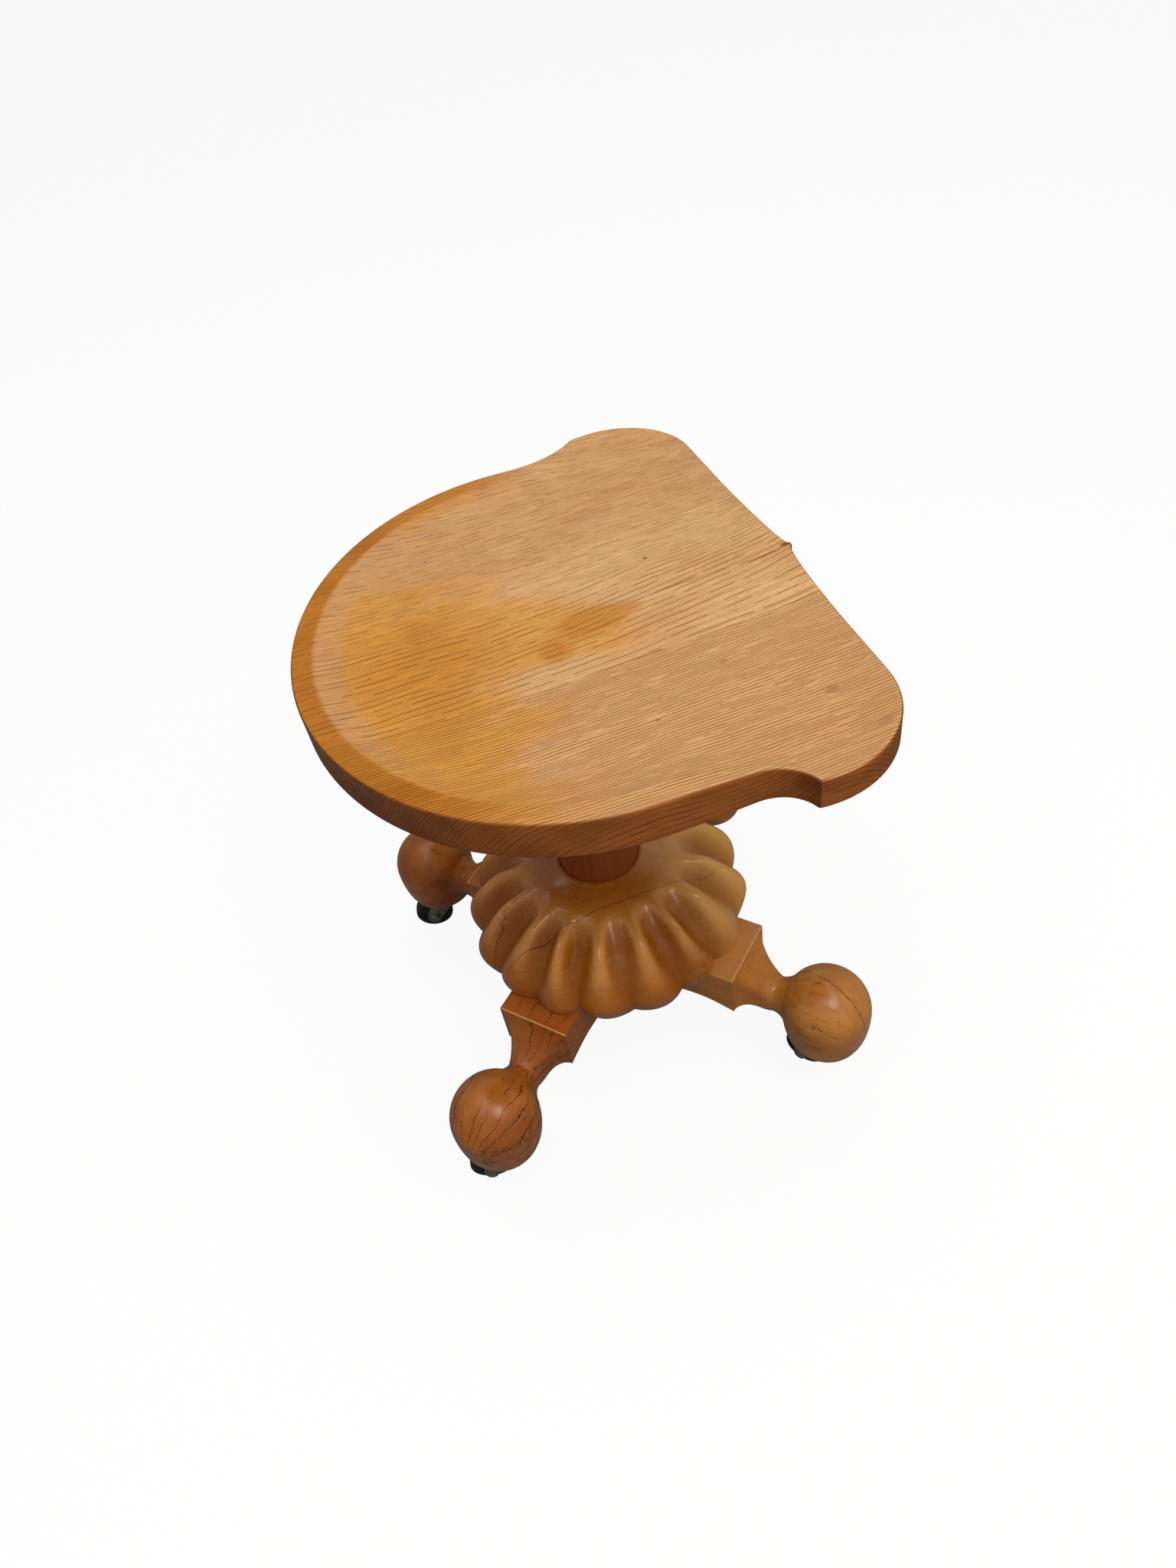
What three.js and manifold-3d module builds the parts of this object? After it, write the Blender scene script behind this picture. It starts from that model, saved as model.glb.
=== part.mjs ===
// Revolving piano stool: a saddle seat on a steel screw, a wooden pillar, a carved dome
// and four legs with bell feet on casters. Millimetres, +Z up. The floor is z = 0, the
// pillar stands on the Z axis and the seat's front is towards -Y.
import * as THREE from 'three';
import { mergeVertices } from 'three/addons/utils/BufferGeometryUtils.js';
import Module from 'manifold-3d';

const wasm = await Module();
wasm.setup();

// Shared clearances
const FIT = 0.3; // gap between two pieces that touch
const OVERRUN = 2; // how far a cutter runs past the surface that it cuts
const FULL_TURN = 2 * Math.PI;
const QUARTER_TURN = Math.PI / 2;
const HEX_SIDES = 6;
const FINE_SIDES = 40; // sides of the large round pieces
const ROUND_SIDES = 20;
const SMALL_SIDES = 10; // sides of screws, pins and their holes

// Seat: oak boards glued edge to edge, dished for the sitter. Its two halves were cut by
// hand and differ a little. Distances are from the pillar's axis where no other is named.
const SEAT_HEIGHT = 454; // top of the rim above the floor, screwed right down
const SEAT_THICKNESS = 29;
const SEAT_BACK = 182.5; // to the back edge
const SEAT_FRONT = 169; // to the front edge
const WAIST_RIGHT = 202; // to the straight side behind the lobe
const WAIST_LEFT = 200;
const LOBE_REACH_RIGHT = 228.5; // to the outermost point of the front lobe
const LOBE_REACH_LEFT = 221.5;
const LOBE_RADIUS_RIGHT = 65;
const LOBE_RADIUS_LEFT = 70;
const LOBE_START_RIGHT = -0.28; // angle round the lobe at which the cove's sharp corner lies
const LOBE_START_LEFT = -0.15;
const COVE_LENGTH_RIGHT = 62; // how far the cove runs back from that corner
const COVE_LENGTH_LEFT = 30;
const COVE_SWEEP_RIGHT = 1; // angle through which the cove's curve bends outwards
const COVE_SWEEP_LEFT = 1.3;
const SEAT_SIDE_START = 4; // the back curve ends this far in front of the axis
const POMMEL_REACH = 7; // how far the tip of the front edge stands proud
const POMMEL_OFFSET = 8; // the tip lies this far to the left of the axis
const POMMEL_HALF_WIDTH = 100;
const RIM_BAND = 13; // width of the level rim round the back
const RIM_SLOPE = 34; // width of the slope inside the rim
const RIM_FADE = 99; // the rim fades out over this distance in front of the axis
const DISH_DEPTH = 7.5; // from the rim down to the edge of the dish
const DISH_SAG = 3.5; // further fall to the middle of the dish
const FRONT_DROP = 3; // the front edge lies this far under the rim
const FRONT_THINNING = 3; // the underside rises this far towards the front edge
const THINNING_SHARE = 0.8; // of the way out from the middle, where that rise starts
const POMMEL_RISE = 4; // height of the low ridge in the middle of the front
const SEAT_RING_SHARES = [0.965, 0.88, 0.78, 0.55, 0.28];
const BACK_STEPS = 13; // points on half of the back curve
const COVE_STEPS = 5;
const LOBE_STEPS = 7;
const FRONT_STEPS = 4;

// Screw that carries the seat
const SCREW_RADIUS = 12.5;
const SCREW_PITCH = 6;
const SCREW_TURNS = 14;
const SCREW_TAIL = 12; // plain end below the stop collar
const COLLAR_RADIUS = 18;
const COLLAR_HEIGHT = 12;
const PIN_RADIUS = 2.5;

// Spider plate screwed under the seat
const SPIDER_THICKNESS = 6;
const SPIDER_ARM_LENGTH = 82;
const SPIDER_ARM_WIDTH = 30;
const SPIDER_HUB_RADIUS = 40;
const BOSS_RADIUS = 23;
const BOSS_HEIGHT = 16;
const SEAT_SCREW_REACH = 70; // from the axis to each wood screw in the spider
const SEAT_SCREW_LENGTH = 18;
const SEAT_SCREWS = 4; // one in each arm
const BUFFER_THICKNESS = 4;
const BUFFER_RADIUS = 28;

// Nut let into the pillar's top
const NUT_FLANGE_RADIUS = 32.5;
const NUT_FLANGE_THICKNESS = 5;
const NUT_BODY_RADIUS = 23;
const NUT_BODY_LENGTH = 45;
const NUT_SCREW_REACH = 28.3;
const NUT_SCREW_LENGTH = 22;
const NUT_SCREWS = 3;

// Wood screws
const WOOD_SCREW_RADIUS = 2;
const WOOD_SCREW_HEAD_RADIUS = 3.6;
const WOOD_SCREW_HEAD_HEIGHT = 2.2;

// Pillar
const PILLAR_RADIUS = 34;
const PILLAR_BORE_RADIUS = 20;

// Carved dome
const DOME_TOP = 202;
const DOME_BOTTOM = 90;
const DOME_RADIUS = 123.5;
const FLUTES = 16;
const FLUTE_DEPTH = 10;
const FLUTE_TURN = 0.11; // turn of a crest from the first leg
const FLUTE_SWELL = 0.75; // power of the cosine between two valleys; lower is fuller
const STEPS_PER_FLUTE = 4;

// Legs and their bell feet
const BASE_TURN = -0.0576; // turn of the legs from the seat's diagonals
const LEG_TOP = 129;
const LEG_WIDTH = 64;
const LEG_DEPTH = 43;
const BLOCK_REACH = 134.5; // from the axis to the square block's outer face
const ARCH_RISE = 4; // hollow in the underside of the block
const NECK_REACH = 161;
const NECK_HEIGHT = 85;
const NECK_RADIUS = 15.5;
const NECK_SIDES = 16;
const FOOT_REACH = 205;
const BALL_RADIUS = 37.2;
const BALL_HEIGHT = 91;
const FOOT_BOTTOM = 52;
const FOOT_BASE_RADIUS = 29;
const FOOT_EDGE = 4; // rounding at the foot of the bell
const FOOT_STEPS = 4; // rings in the bell's lower half
const CURVE_STEPS = 6; // points on a curve of an extruded outline

// Plate and bolts under the pedestal
const PLATE_RADIUS = 74;
const PLATE_THICKNESS = 4;
const BOLT_REACH = 56;
const BOLT_RADIUS = 4;
const BOLT_LENGTH = 82;
const BOLT_HEAD_RADIUS = 7.5;
const BOLT_HEAD_HEIGHT = 5.5;
const PILLAR_SCREW_REACH = 27;
const PILLAR_SCREW_LENGTH = 24;
const PILLAR_SCREWS = 3;

// Casters
const WHEEL_RADIUS = 19;
const TYRE_WIDTH = 15;
const TYRE_ROUNDING = 3;
const HUB_RADIUS = 12.5;
const HUB_BOSS_RADIUS = 6.5;
const HUB_BOSS_WIDTH = 17;
const WHEEL_GAP = 1; // from the hub's boss to each cheek of the fork
const WHEEL_SIDES = 20;
const CASTER_TRAIL = 17; // from the swivel's axis to the axle
const FORK_METAL = 2.5;
const FORK_EYE_RADIUS = 7;
const EYE_START = -2.8; // angles between which the cheek follows its round eye
const EYE_END = 0.35;
const AXLE_RADIUS = 3;
const AXLE_HEAD_RADIUS = 5.4;
const AXLE_HEAD_HEIGHT = 2.6;
const AXLE_END = 1.6; // thread that shows beyond the nut
const RACE_RADIUS = 13;
const RACE_HEIGHT = 3;
const STEM_RADIUS = 4;
const STEM_LENGTH = 30;
const SOCKET_RADIUS = 6.5;
const SOCKET_FLANGE_RADIUS = 15;
const SOCKET_FLANGE_THICKNESS = 2;

const material = (colour, roughness, metalness) =>
  new THREE.MeshStandardMaterial({ color: colour, roughness, metalness });
const oak = material(0xb98447, 0.5, 0);
const maple = material(0xa86c2e, 0.3, 0);
const redWood = material(0x9c5226, 0.4, 0);
const steel = material(0x8f9194, 0.4, 1);
const castIron = material(0x2d2c2b, 0.6, 0.8);
const brass = material(0xa98546, 0.4, 1);
const leatherBrown = material(0x6a4527, 0.8, 0);
const rubber = material(0x161616, 0.7, 0);
const blackPlastic = material(0x222222, 0.5, 0);

// Turns a closed geometry into a solid that can be joined and cut.
function solid(geometry) {
  const bare = geometry.clone();
  bare.deleteAttribute('normal');
  bare.deleteAttribute('uv');
  const merged = mergeVertices(bare);
  const corners = merged.index.array;
  const faces = [];
  for (let i = 0; i < corners.length; i += 3) {
    const [a, b, c] = [corners[i], corners[i + 1], corners[i + 2]];
    if (a !== b && b !== c && c !== a) faces.push(a, b, c);
  }
  return new wasm.Manifold(new wasm.Mesh({
    numProp: 3,
    vertProperties: merged.attributes.position.array,
    triVerts: new Uint32Array(faces),
  }));
}

// Turns a solid back into a geometry.
function geometryOf(body) {
  const { vertProperties, triVerts } = body.getMesh();
  const geometry = new THREE.BufferGeometry();
  geometry.setAttribute('position', new THREE.BufferAttribute(vertProperties, 3));
  geometry.setIndex(new THREE.BufferAttribute(triVerts, 1));
  geometry.computeVertexNormals();
  return geometry;
}

function piece(name, body, finish) {
  const mesh = new THREE.Mesh(geometryOf(body), finish.clone());
  mesh.name = name;
  return mesh;
}

// A round solid about Z from a profile of [radius, height] pairs, from its low to its high end.
function turned(profile, sides = ROUND_SIDES) {
  const points = profile.map(([radius, height]) => new THREE.Vector2(radius, height));
  return solid(new THREE.LatheGeometry(points, sides).rotateX(QUARTER_TURN));
}

function rod(radius, low, high, sides = ROUND_SIDES) {
  return turned([[0, low], [radius, low], [radius, high], [0, high]], sides);
}

// The cutter for a round hole: its flats clear the piece of that radius, and it runs past
// both ends.
function bore(radius, low, high, sides = ROUND_SIDES) {
  const wide = (radius + FIT) / Math.cos(Math.PI / sides);
  return rod(wide, low - OVERRUN, high + OVERRUN, sides);
}

// A hollow ring that clears a piece of the inner radius.
function ring(inner, outer, low, high, sides = ROUND_SIDES) {
  return rod(outer, low, high, sides).subtract(bore(inner, low, high, sides));
}

// A box that spans the given lows and highs.
function block(low, high) {
  const size = high.map((value, i) => value - low[i]);
  const middle = high.map((value, i) => (value + low[i]) / 2);
  return solid(new THREE.BoxGeometry(...size).translate(...middle));
}

// A closed skin over rings of points that all have the same count, closed at both ends
// by a fan from the middle of the end ring.
function skinned(rings) {
  const count = rings[0].length;
  const points = rings.flat();
  const faces = [];
  for (let i = 0; i + 1 < rings.length; i++) {
    for (let j = 0; j < count; j++) {
      const next = (j + 1) % count;
      const [a, b] = [i * count + j, i * count + next];
      faces.push(a, b, b + count, a, b + count, a + count);
    }
  }
  for (const end of [0, rings.length - 1]) {
    const middle = new THREE.Vector3();
    for (const point of rings[end]) middle.addScaledVector(point, 1 / count);
    points.push(middle);
    for (let j = 0; j < count; j++) {
      const [a, b] = [end * count + j, end * count + (j + 1) % count];
      faces.push(...(end === 0 ? [b, a, points.length - 1] : [a, b, points.length - 1]));
    }
  }
  const geometry = new THREE.BufferGeometry().setFromPoints(points);
  geometry.setIndex(faces);
  return solid(geometry);
}

// A copy moved or turned, with angles in radians.
const moved = (body, x, y, z) => body.translate([x, y, z]);
const turnedBy = (body, angle) => body.rotate([0, 0, THREE.MathUtils.radToDeg(angle)]);
const smooth = (low, high, value) => THREE.MathUtils.smoothstep(value, low, high);

// Seat

// One half of the outline, from the middle of the back to the tip of the front edge, drawn
// on the right. The tip lies that far to the right of the axis.
function seatHalfOutline({ waist, reach, radius, start, coveLength, coveSweep, tip }) {
  const points = [];
  for (let i = 0; i <= BACK_STEPS; i++) {
    const angle = QUARTER_TURN * (1 - i / BACK_STEPS);
    const depth = (SEAT_BACK + SEAT_SIDE_START) * Math.sin(angle) - SEAT_SIDE_START;
    points.push([waist * Math.cos(angle), depth]);
  }
  const lobe = [reach - radius, radius - SEAT_FRONT];
  const onLobe = (angle) =>
    [lobe[0] + radius * Math.cos(angle), lobe[1] - radius * Math.sin(angle)];
  const corner = onLobe(start);
  for (let i = 0; i <= COVE_STEPS; i++) {
    const angle = coveSweep * (i / COVE_STEPS);
    const across = (1 - Math.cos(angle)) / (1 - Math.cos(coveSweep));
    const back = 1 - Math.sin(angle) / Math.sin(coveSweep);
    points.push([waist + (corner[0] - waist) * across, corner[1] + coveLength * back]);
  }
  for (let i = 1; i <= LOBE_STEPS; i++) {
    points.push(onLobe(start + (QUARTER_TURN - start) * (i / LOBE_STEPS)));
  }
  const nose = new THREE.QuadraticBezierCurve(
    new THREE.Vector2(POMMEL_HALF_WIDTH, -SEAT_FRONT),
    new THREE.Vector2(tip, -SEAT_FRONT),
    new THREE.Vector2(tip, -SEAT_FRONT - POMMEL_REACH),
  );
  for (const point of nose.getPoints(FRONT_STEPS)) points.push([point.x, point.y]);
  return points;
}

function seatOutline() {
  const right = seatHalfOutline({
    waist: WAIST_RIGHT,
    reach: LOBE_REACH_RIGHT,
    radius: LOBE_RADIUS_RIGHT,
    start: LOBE_START_RIGHT,
    coveLength: COVE_LENGTH_RIGHT,
    coveSweep: COVE_SWEEP_RIGHT,
    tip: -POMMEL_OFFSET,
  });
  const left = seatHalfOutline({
    waist: WAIST_LEFT,
    reach: LOBE_REACH_LEFT,
    radius: LOBE_RADIUS_LEFT,
    start: LOBE_START_LEFT,
    coveLength: COVE_LENGTH_LEFT,
    coveSweep: COVE_SWEEP_LEFT,
    tip: POMMEL_OFFSET,
  }).map(([x, y]) => [-x, y]);
  return [...left, ...right.reverse().slice(1, -1)];
}

// Height of the seat's top: a level rim that fades out towards the front, a slope inside
// it, a shallow dish, and a low ridge in the middle of the front. The inset is the
// distance in from the edge.
function seatTop(x, y, inset) {
  const rear = smooth(-RIM_FADE, 0, y);
  const slope = smooth(RIM_BAND * rear, RIM_BAND * rear + RIM_SLOPE, inset);
  const edge = FRONT_DROP * (1 - rear);
  const width = 1 - Math.abs(x) / WAIST_LEFT;
  const ridge = POMMEL_RISE * smooth(0, 1, width) ** 2 * smooth(0, SEAT_FRONT, -y);
  const spread = Math.hypot(x / WAIST_LEFT, 2 * y / (SEAT_BACK + SEAT_FRONT));
  const sag = DISH_SAG * smooth(0, 1, 1 - spread);
  return SEAT_HEIGHT - edge - (DISH_DEPTH - edge) * slope - sag + ridge;
}

function seatSolid() {
  const outline = seatOutline();
  const ringAt = (share, heightAt) => outline.map(([x, y]) => {
    const inset = (1 - share) * Math.hypot(x, y);
    return new THREE.Vector3(x * share, y * share, heightAt(x * share, y * share, inset));
  });
  const bottom = SEAT_HEIGHT - SEAT_THICKNESS;
  const edgeUnder = (x, y) => bottom + FRONT_THINNING * smooth(0, RIM_FADE, -y);
  const rings = [ringAt(THINNING_SHARE, () => bottom), ringAt(1, edgeUnder), ringAt(1, seatTop)];
  for (const share of SEAT_RING_SHARES) rings.push(ringAt(share, seatTop));
  return skinned(rings);
}

// Heights of the parts under the seat, worked down from its underside
const seatUnder = SEAT_HEIGHT - SEAT_THICKNESS;
const spiderTop = seatUnder - FIT;
const spiderUnder = spiderTop - SPIDER_THICKNESS;
const bossUnder = spiderUnder - BOSS_HEIGHT;
const bufferTop = bossUnder - FIT;
const bufferUnder = bufferTop - BUFFER_THICKNESS;
const flangeTop = bufferUnder - FIT;
const flangeUnder = flangeTop - NUT_FLANGE_THICKNESS;
const pillarTop = flangeUnder - FIT;
const nutUnder = flangeUnder - NUT_BODY_LENGTH;
const seatRise = SCREW_PITCH * SCREW_TURNS;
const collarTop = nutUnder - FIT - seatRise;
const collarUnder = collarTop - COLLAR_HEIGHT;
const screwUnder = collarUnder - SCREW_TAIL;
const legUnder = LEG_TOP - LEG_DEPTH;
const plateTop = legUnder - FIT;
const plateUnder = plateTop - PLATE_THICKNESS;

// A screw's shape from its profile, pointing up or down from the height of its head.
function pointed(profile, head, way) {
  const upright = turned(profile, SMALL_SIDES);
  return (way > 0 ? upright : upright.rotate([180, 0, 0])).translate([0, 0, head]);
}

// A countersunk wood screw that points up or down from its head's outer face.
function woodScrew(length, head, way) {
  return pointed([
    [0, 0],
    [WOOD_SCREW_HEAD_RADIUS, 0],
    [WOOD_SCREW_RADIUS, WOOD_SCREW_HEAD_HEIGHT],
    [WOOD_SCREW_RADIUS, length - WOOD_SCREW_RADIUS],
    [0, length],
  ], head, way);
}

// The hole for that screw, a clearance larger all round and open past the head.
function woodScrewHole(length, head, way) {
  return pointed([
    [0, -OVERRUN],
    [WOOD_SCREW_HEAD_RADIUS + FIT, -OVERRUN],
    [WOOD_SCREW_HEAD_RADIUS + FIT, FIT],
    [WOOD_SCREW_RADIUS + FIT, WOOD_SCREW_HEAD_HEIGHT + FIT],
    [WOOD_SCREW_RADIUS + FIT, length + FIT],
    [0, length + FIT],
  ], head, way);
}

// Copies of a solid round the axis, joined into one cutter or given one by one.
function around(body, count, reach) {
  const copies = [];
  for (let i = 0; i < count; i++) {
    copies.push(turnedBy(moved(body, reach, 0, 0), i * FULL_TURN / count));
  }
  return copies;
}

function cutAll(body, cutters) {
  return cutters.reduce((rest, cutter) => rest.subtract(cutter), body);
}

// A pin across a round piece of that radius, and the hole for it.
function crossPin(radius, height) {
  const pin = solid(new THREE.CylinderGeometry(PIN_RADIUS, PIN_RADIUS, 2 * radius, SMALL_SIDES));
  return pin.translate([0, 0, height]);
}

function crossPinHole(radius, height) {
  const [wide, long] = [PIN_RADIUS + FIT, 2 * radius + 2 * OVERRUN];
  const cutter = solid(new THREE.CylinderGeometry(wide, wide, long, SMALL_SIDES));
  return cutter.translate([0, 0, height]);
}

const seatGroup = new THREE.Group();
const spiderPinHeight = bossUnder + BOSS_HEIGHT / 2;
const collarPinHeight = collarUnder + COLLAR_HEIGHT / 2;
{
  const screwHoles = around(
    woodScrewHole(SEAT_SCREW_LENGTH, spiderUnder, 1), SEAT_SCREWS, SEAT_SCREW_REACH);
  seatGroup.add(piece('seat', cutAll(seatSolid(), screwHoles), oak));

  const half = SPIDER_ARM_WIDTH / 2;
  const arm = block([0, -half, spiderUnder], [SPIDER_ARM_LENGTH - half, half, spiderTop])
    .add(moved(rod(half, spiderUnder, spiderTop), SPIDER_ARM_LENGTH - half, 0, 0));
  const spider = around(arm, SEAT_SCREWS, 0).reduce((a, b) => a.add(b))
    .add(rod(SPIDER_HUB_RADIUS, spiderUnder, spiderTop))
    .add(rod(BOSS_RADIUS, bossUnder, spiderTop))
    .subtract(bore(SCREW_RADIUS, bossUnder, spiderTop));
  const pinHole = crossPinHole(BOSS_RADIUS, spiderPinHeight);
  seatGroup.add(piece('spider_plate', cutAll(spider, [...screwHoles, pinHole]), castIron));

  const screws = around(
    woodScrew(SEAT_SCREW_LENGTH, spiderUnder, 1), SEAT_SCREWS, SEAT_SCREW_REACH);
  screws.forEach((screw, i) => seatGroup.add(piece(`seat_screw_${i + 1}`, screw, steel)));

  const collarHole = crossPinHole(COLLAR_RADIUS, collarPinHeight);
  const screw = rod(SCREW_RADIUS, screwUnder, spiderTop - FIT);
  seatGroup.add(piece('lead_screw', cutAll(screw, [pinHole, collarHole]), steel));
  seatGroup.add(piece('lead_screw_pin', crossPin(BOSS_RADIUS, spiderPinHeight), steel));
  const collar = ring(SCREW_RADIUS, COLLAR_RADIUS, collarUnder, collarTop);
  seatGroup.add(piece('stop_collar', collar.subtract(collarHole), steel));
  seatGroup.add(piece('stop_collar_pin', crossPin(COLLAR_RADIUS, collarPinHeight), steel));
}

// Leather washer on which the seat lands when it is screwed right down
const bufferWasher = piece(
  'buffer_washer', ring(SCREW_RADIUS, BUFFER_RADIUS, bufferUnder, bufferTop), leatherBrown);

// Everything that stands still lies in one group, in the legs' own turn.
const baseGroup = new THREE.Group();
baseGroup.rotation.z = BASE_TURN;

// Pillar and nut
const footHoles = around(
  woodScrewHole(PILLAR_SCREW_LENGTH, plateUnder, 1), PILLAR_SCREWS, PILLAR_SCREW_REACH);
{
  const nutHoles = around(
    woodScrewHole(NUT_SCREW_LENGTH, flangeTop, -1), NUT_SCREWS, NUT_SCREW_REACH);
  const nut = rod(NUT_FLANGE_RADIUS, flangeUnder, flangeTop)
    .add(rod(NUT_BODY_RADIUS, nutUnder, flangeTop))
    .subtract(bore(SCREW_RADIUS, nutUnder, flangeTop));
  baseGroup.add(piece('screw_nut', cutAll(nut, nutHoles), brass));
  around(woodScrew(NUT_SCREW_LENGTH, flangeTop, -1), NUT_SCREWS, NUT_SCREW_REACH)
    .forEach((screw, i) => baseGroup.add(piece(`nut_screw_${i + 1}`, screw, steel)));

  around(woodScrew(PILLAR_SCREW_LENGTH, plateUnder, 1), PILLAR_SCREWS, PILLAR_SCREW_REACH)
    .forEach((screw, i) => baseGroup.add(piece(`pillar_screw_${i + 1}`, screw, steel)));
  const pillar = rod(PILLAR_RADIUS, legUnder, pillarTop, FINE_SIDES)
    .subtract(bore(PILLAR_BORE_RADIUS, legUnder, pillarTop))
    .subtract(bore(NUT_BODY_RADIUS, nutUnder + OVERRUN - FIT, pillarTop));
  baseGroup.add(piece('pillar', cutAll(pillar, [...nutHoles, ...footHoles]), redWood));
}

// Pedestal: dome, legs, plate and bolts
const LEGS = ['front_right', 'rear_right', 'rear_left', 'front_left'];
const CASTER_TURNS = [1.05, 1.373, 1.373, 0.59]; // way in which each wheel trails, from +X
const legAngle = (i) => (i - 0.5) * QUARTER_TURN;

// The dome's outline in shares of its radius and of its height, from its lower edge over
// the shoulder to the lip at the pillar. The third share is how deep the flutes are there.
const DOME_PROFILE_SHARES = [
  [0.68, 0, 0.7],
  [0.775, 0.085, 0.85],
  [0.885, 0.21, 1],
  [0.965, 0.33, 1],
  [1, 0.46, 1],
  [0.96, 0.59, 0.95],
  [0.865, 0.71, 0.8],
  [0.72, 0.82, 0.55],
  [0.54, 0.905, 0.22],
  [0.38, 0.96, 0.03],
  [0.3, 1, 0],
];

function domeSolid() {
  const sides = FLUTES * STEPS_PER_FLUTE;
  const rings = DOME_PROFILE_SHARES.map(([radiusShare, heightShare, fluteShare]) => {
    const points = [];
    for (let j = 0; j < sides; j++) {
      const angle = j * FULL_TURN / sides;
      const swell = Math.abs(Math.cos(angle * FLUTES / 2)) ** FLUTE_SWELL;
      const radius = DOME_RADIUS * radiusShare - FLUTE_DEPTH * fluteShare * (1 - swell);
      const height = DOME_BOTTOM + (DOME_TOP - DOME_BOTTOM) * heightShare;
      const turn = angle + FLUTE_TURN + QUARTER_TURN / 2;
      points.push(new THREE.Vector3(
        radius * Math.cos(turn), radius * Math.sin(turn), height));
    }
    return points;
  });
  return skinned(rings);
}

const legHalf = LEG_WIDTH / 2;
const legInner = PILLAR_RADIUS + FIT;

// Rings of the neck between the square block and the round foot: shares of the way to the
// foot, of the way from the block's half width and half depth to the neck's radius, and of
// the way from square to round.
const NECK_SHARES = [
  [0, 0, 0],
  [0.06, 0.34, 0.08],
  [0.15, 0.63, 0.25],
  [0.27, 0.88, 0.55],
  [0.4, 1, 0.9],
  [0.55, 0.97, 1],
  [0.75, 0.85, 1],
];

// A section with square corners at 0 and round at 1.
function squareToRound(angle, halfWidth, halfDepth, roundShare) {
  const [c, s] = [Math.cos(angle), Math.sin(angle)];
  const square = Math.max(Math.abs(c), Math.abs(s));
  const stretch = (1 - roundShare) / square + roundShare;
  return [halfWidth * c * stretch, halfDepth * s * stretch];
}

function neckSolid() {
  const blockMiddle = LEG_TOP - LEG_DEPTH / 2;
  const reach = FOOT_REACH - BLOCK_REACH;
  const rings = NECK_SHARES.map(([alongShare, taperShare, roundShare]) => {
    const along = BLOCK_REACH - FIT + reach * alongShare;
    const middle = THREE.MathUtils.lerp(
      blockMiddle, NECK_HEIGHT, smooth(BLOCK_REACH, NECK_REACH, along));
    const halfWidth = THREE.MathUtils.lerp(legHalf, NECK_RADIUS, taperShare);
    const halfDepth = THREE.MathUtils.lerp(LEG_DEPTH / 2, NECK_RADIUS, taperShare);
    const points = [];
    for (let j = 0; j < NECK_SIDES; j++) {
      const angle = (j + 0.5) * FULL_TURN / NECK_SIDES;
      const [across, up] = squareToRound(angle, halfWidth, halfDepth, roundShare);
      points.push(new THREE.Vector3(along, across, middle + up));
    }
    return points;
  });
  return skinned(rings);
}

// Bell foot: a ball whose lower half tapers to a flat base.
function footProfile() {
  const profile = [[0, FOOT_BOTTOM], [FOOT_BASE_RADIUS - FOOT_EDGE, FOOT_BOTTOM]];
  const start = FOOT_BOTTOM + FOOT_EDGE;
  for (let i = 0; i <= FOOT_STEPS; i++) {
    const share = i / FOOT_STEPS;
    const swell = Math.sin(QUARTER_TURN * share);
    profile.push([
      THREE.MathUtils.lerp(FOOT_BASE_RADIUS, BALL_RADIUS, swell),
      THREE.MathUtils.lerp(start, BALL_HEIGHT, share),
    ]);
  }
  for (let i = 1; i <= FOOT_STEPS + 1; i++) {
    const angle = QUARTER_TURN * i / (FOOT_STEPS + 1);
    const radius = i > FOOT_STEPS ? 0 : BALL_RADIUS * Math.cos(angle);
    profile.push([radius, BALL_HEIGHT + BALL_RADIUS * Math.sin(angle)]);
  }
  return profile;
}

function legSolid() {
  const side = new THREE.Shape();
  side.moveTo(legInner, LEG_TOP);
  side.lineTo(legInner, legUnder);
  side.lineTo(PLATE_RADIUS, legUnder);
  side.quadraticCurveTo(
    (PLATE_RADIUS + BLOCK_REACH) / 2, legUnder + 2 * ARCH_RISE, BLOCK_REACH, legUnder);
  side.lineTo(BLOCK_REACH, LEG_TOP);
  const flat = new THREE.ExtrudeGeometry(
    side, { depth: LEG_WIDTH, bevelEnabled: false, curveSegments: CURVE_STEPS });
  const body = solid(flat.rotateX(QUARTER_TURN).translate(0, legHalf, 0));
  const foot = moved(turned(footProfile()), FOOT_REACH, 0, 0);
  const socketHole = moved(
    bore(SOCKET_RADIUS, FOOT_BOTTOM, FOOT_BOTTOM + STEM_LENGTH, SMALL_SIDES), FOOT_REACH, 0, 0);
  const boltHole = moved(bore(BOLT_RADIUS, legUnder, LEG_TOP, SMALL_SIDES), BOLT_REACH, 0, 0);
  return body.add(neckSolid()).add(foot).subtract(socketHole).subtract(boltHole);
}

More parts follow.
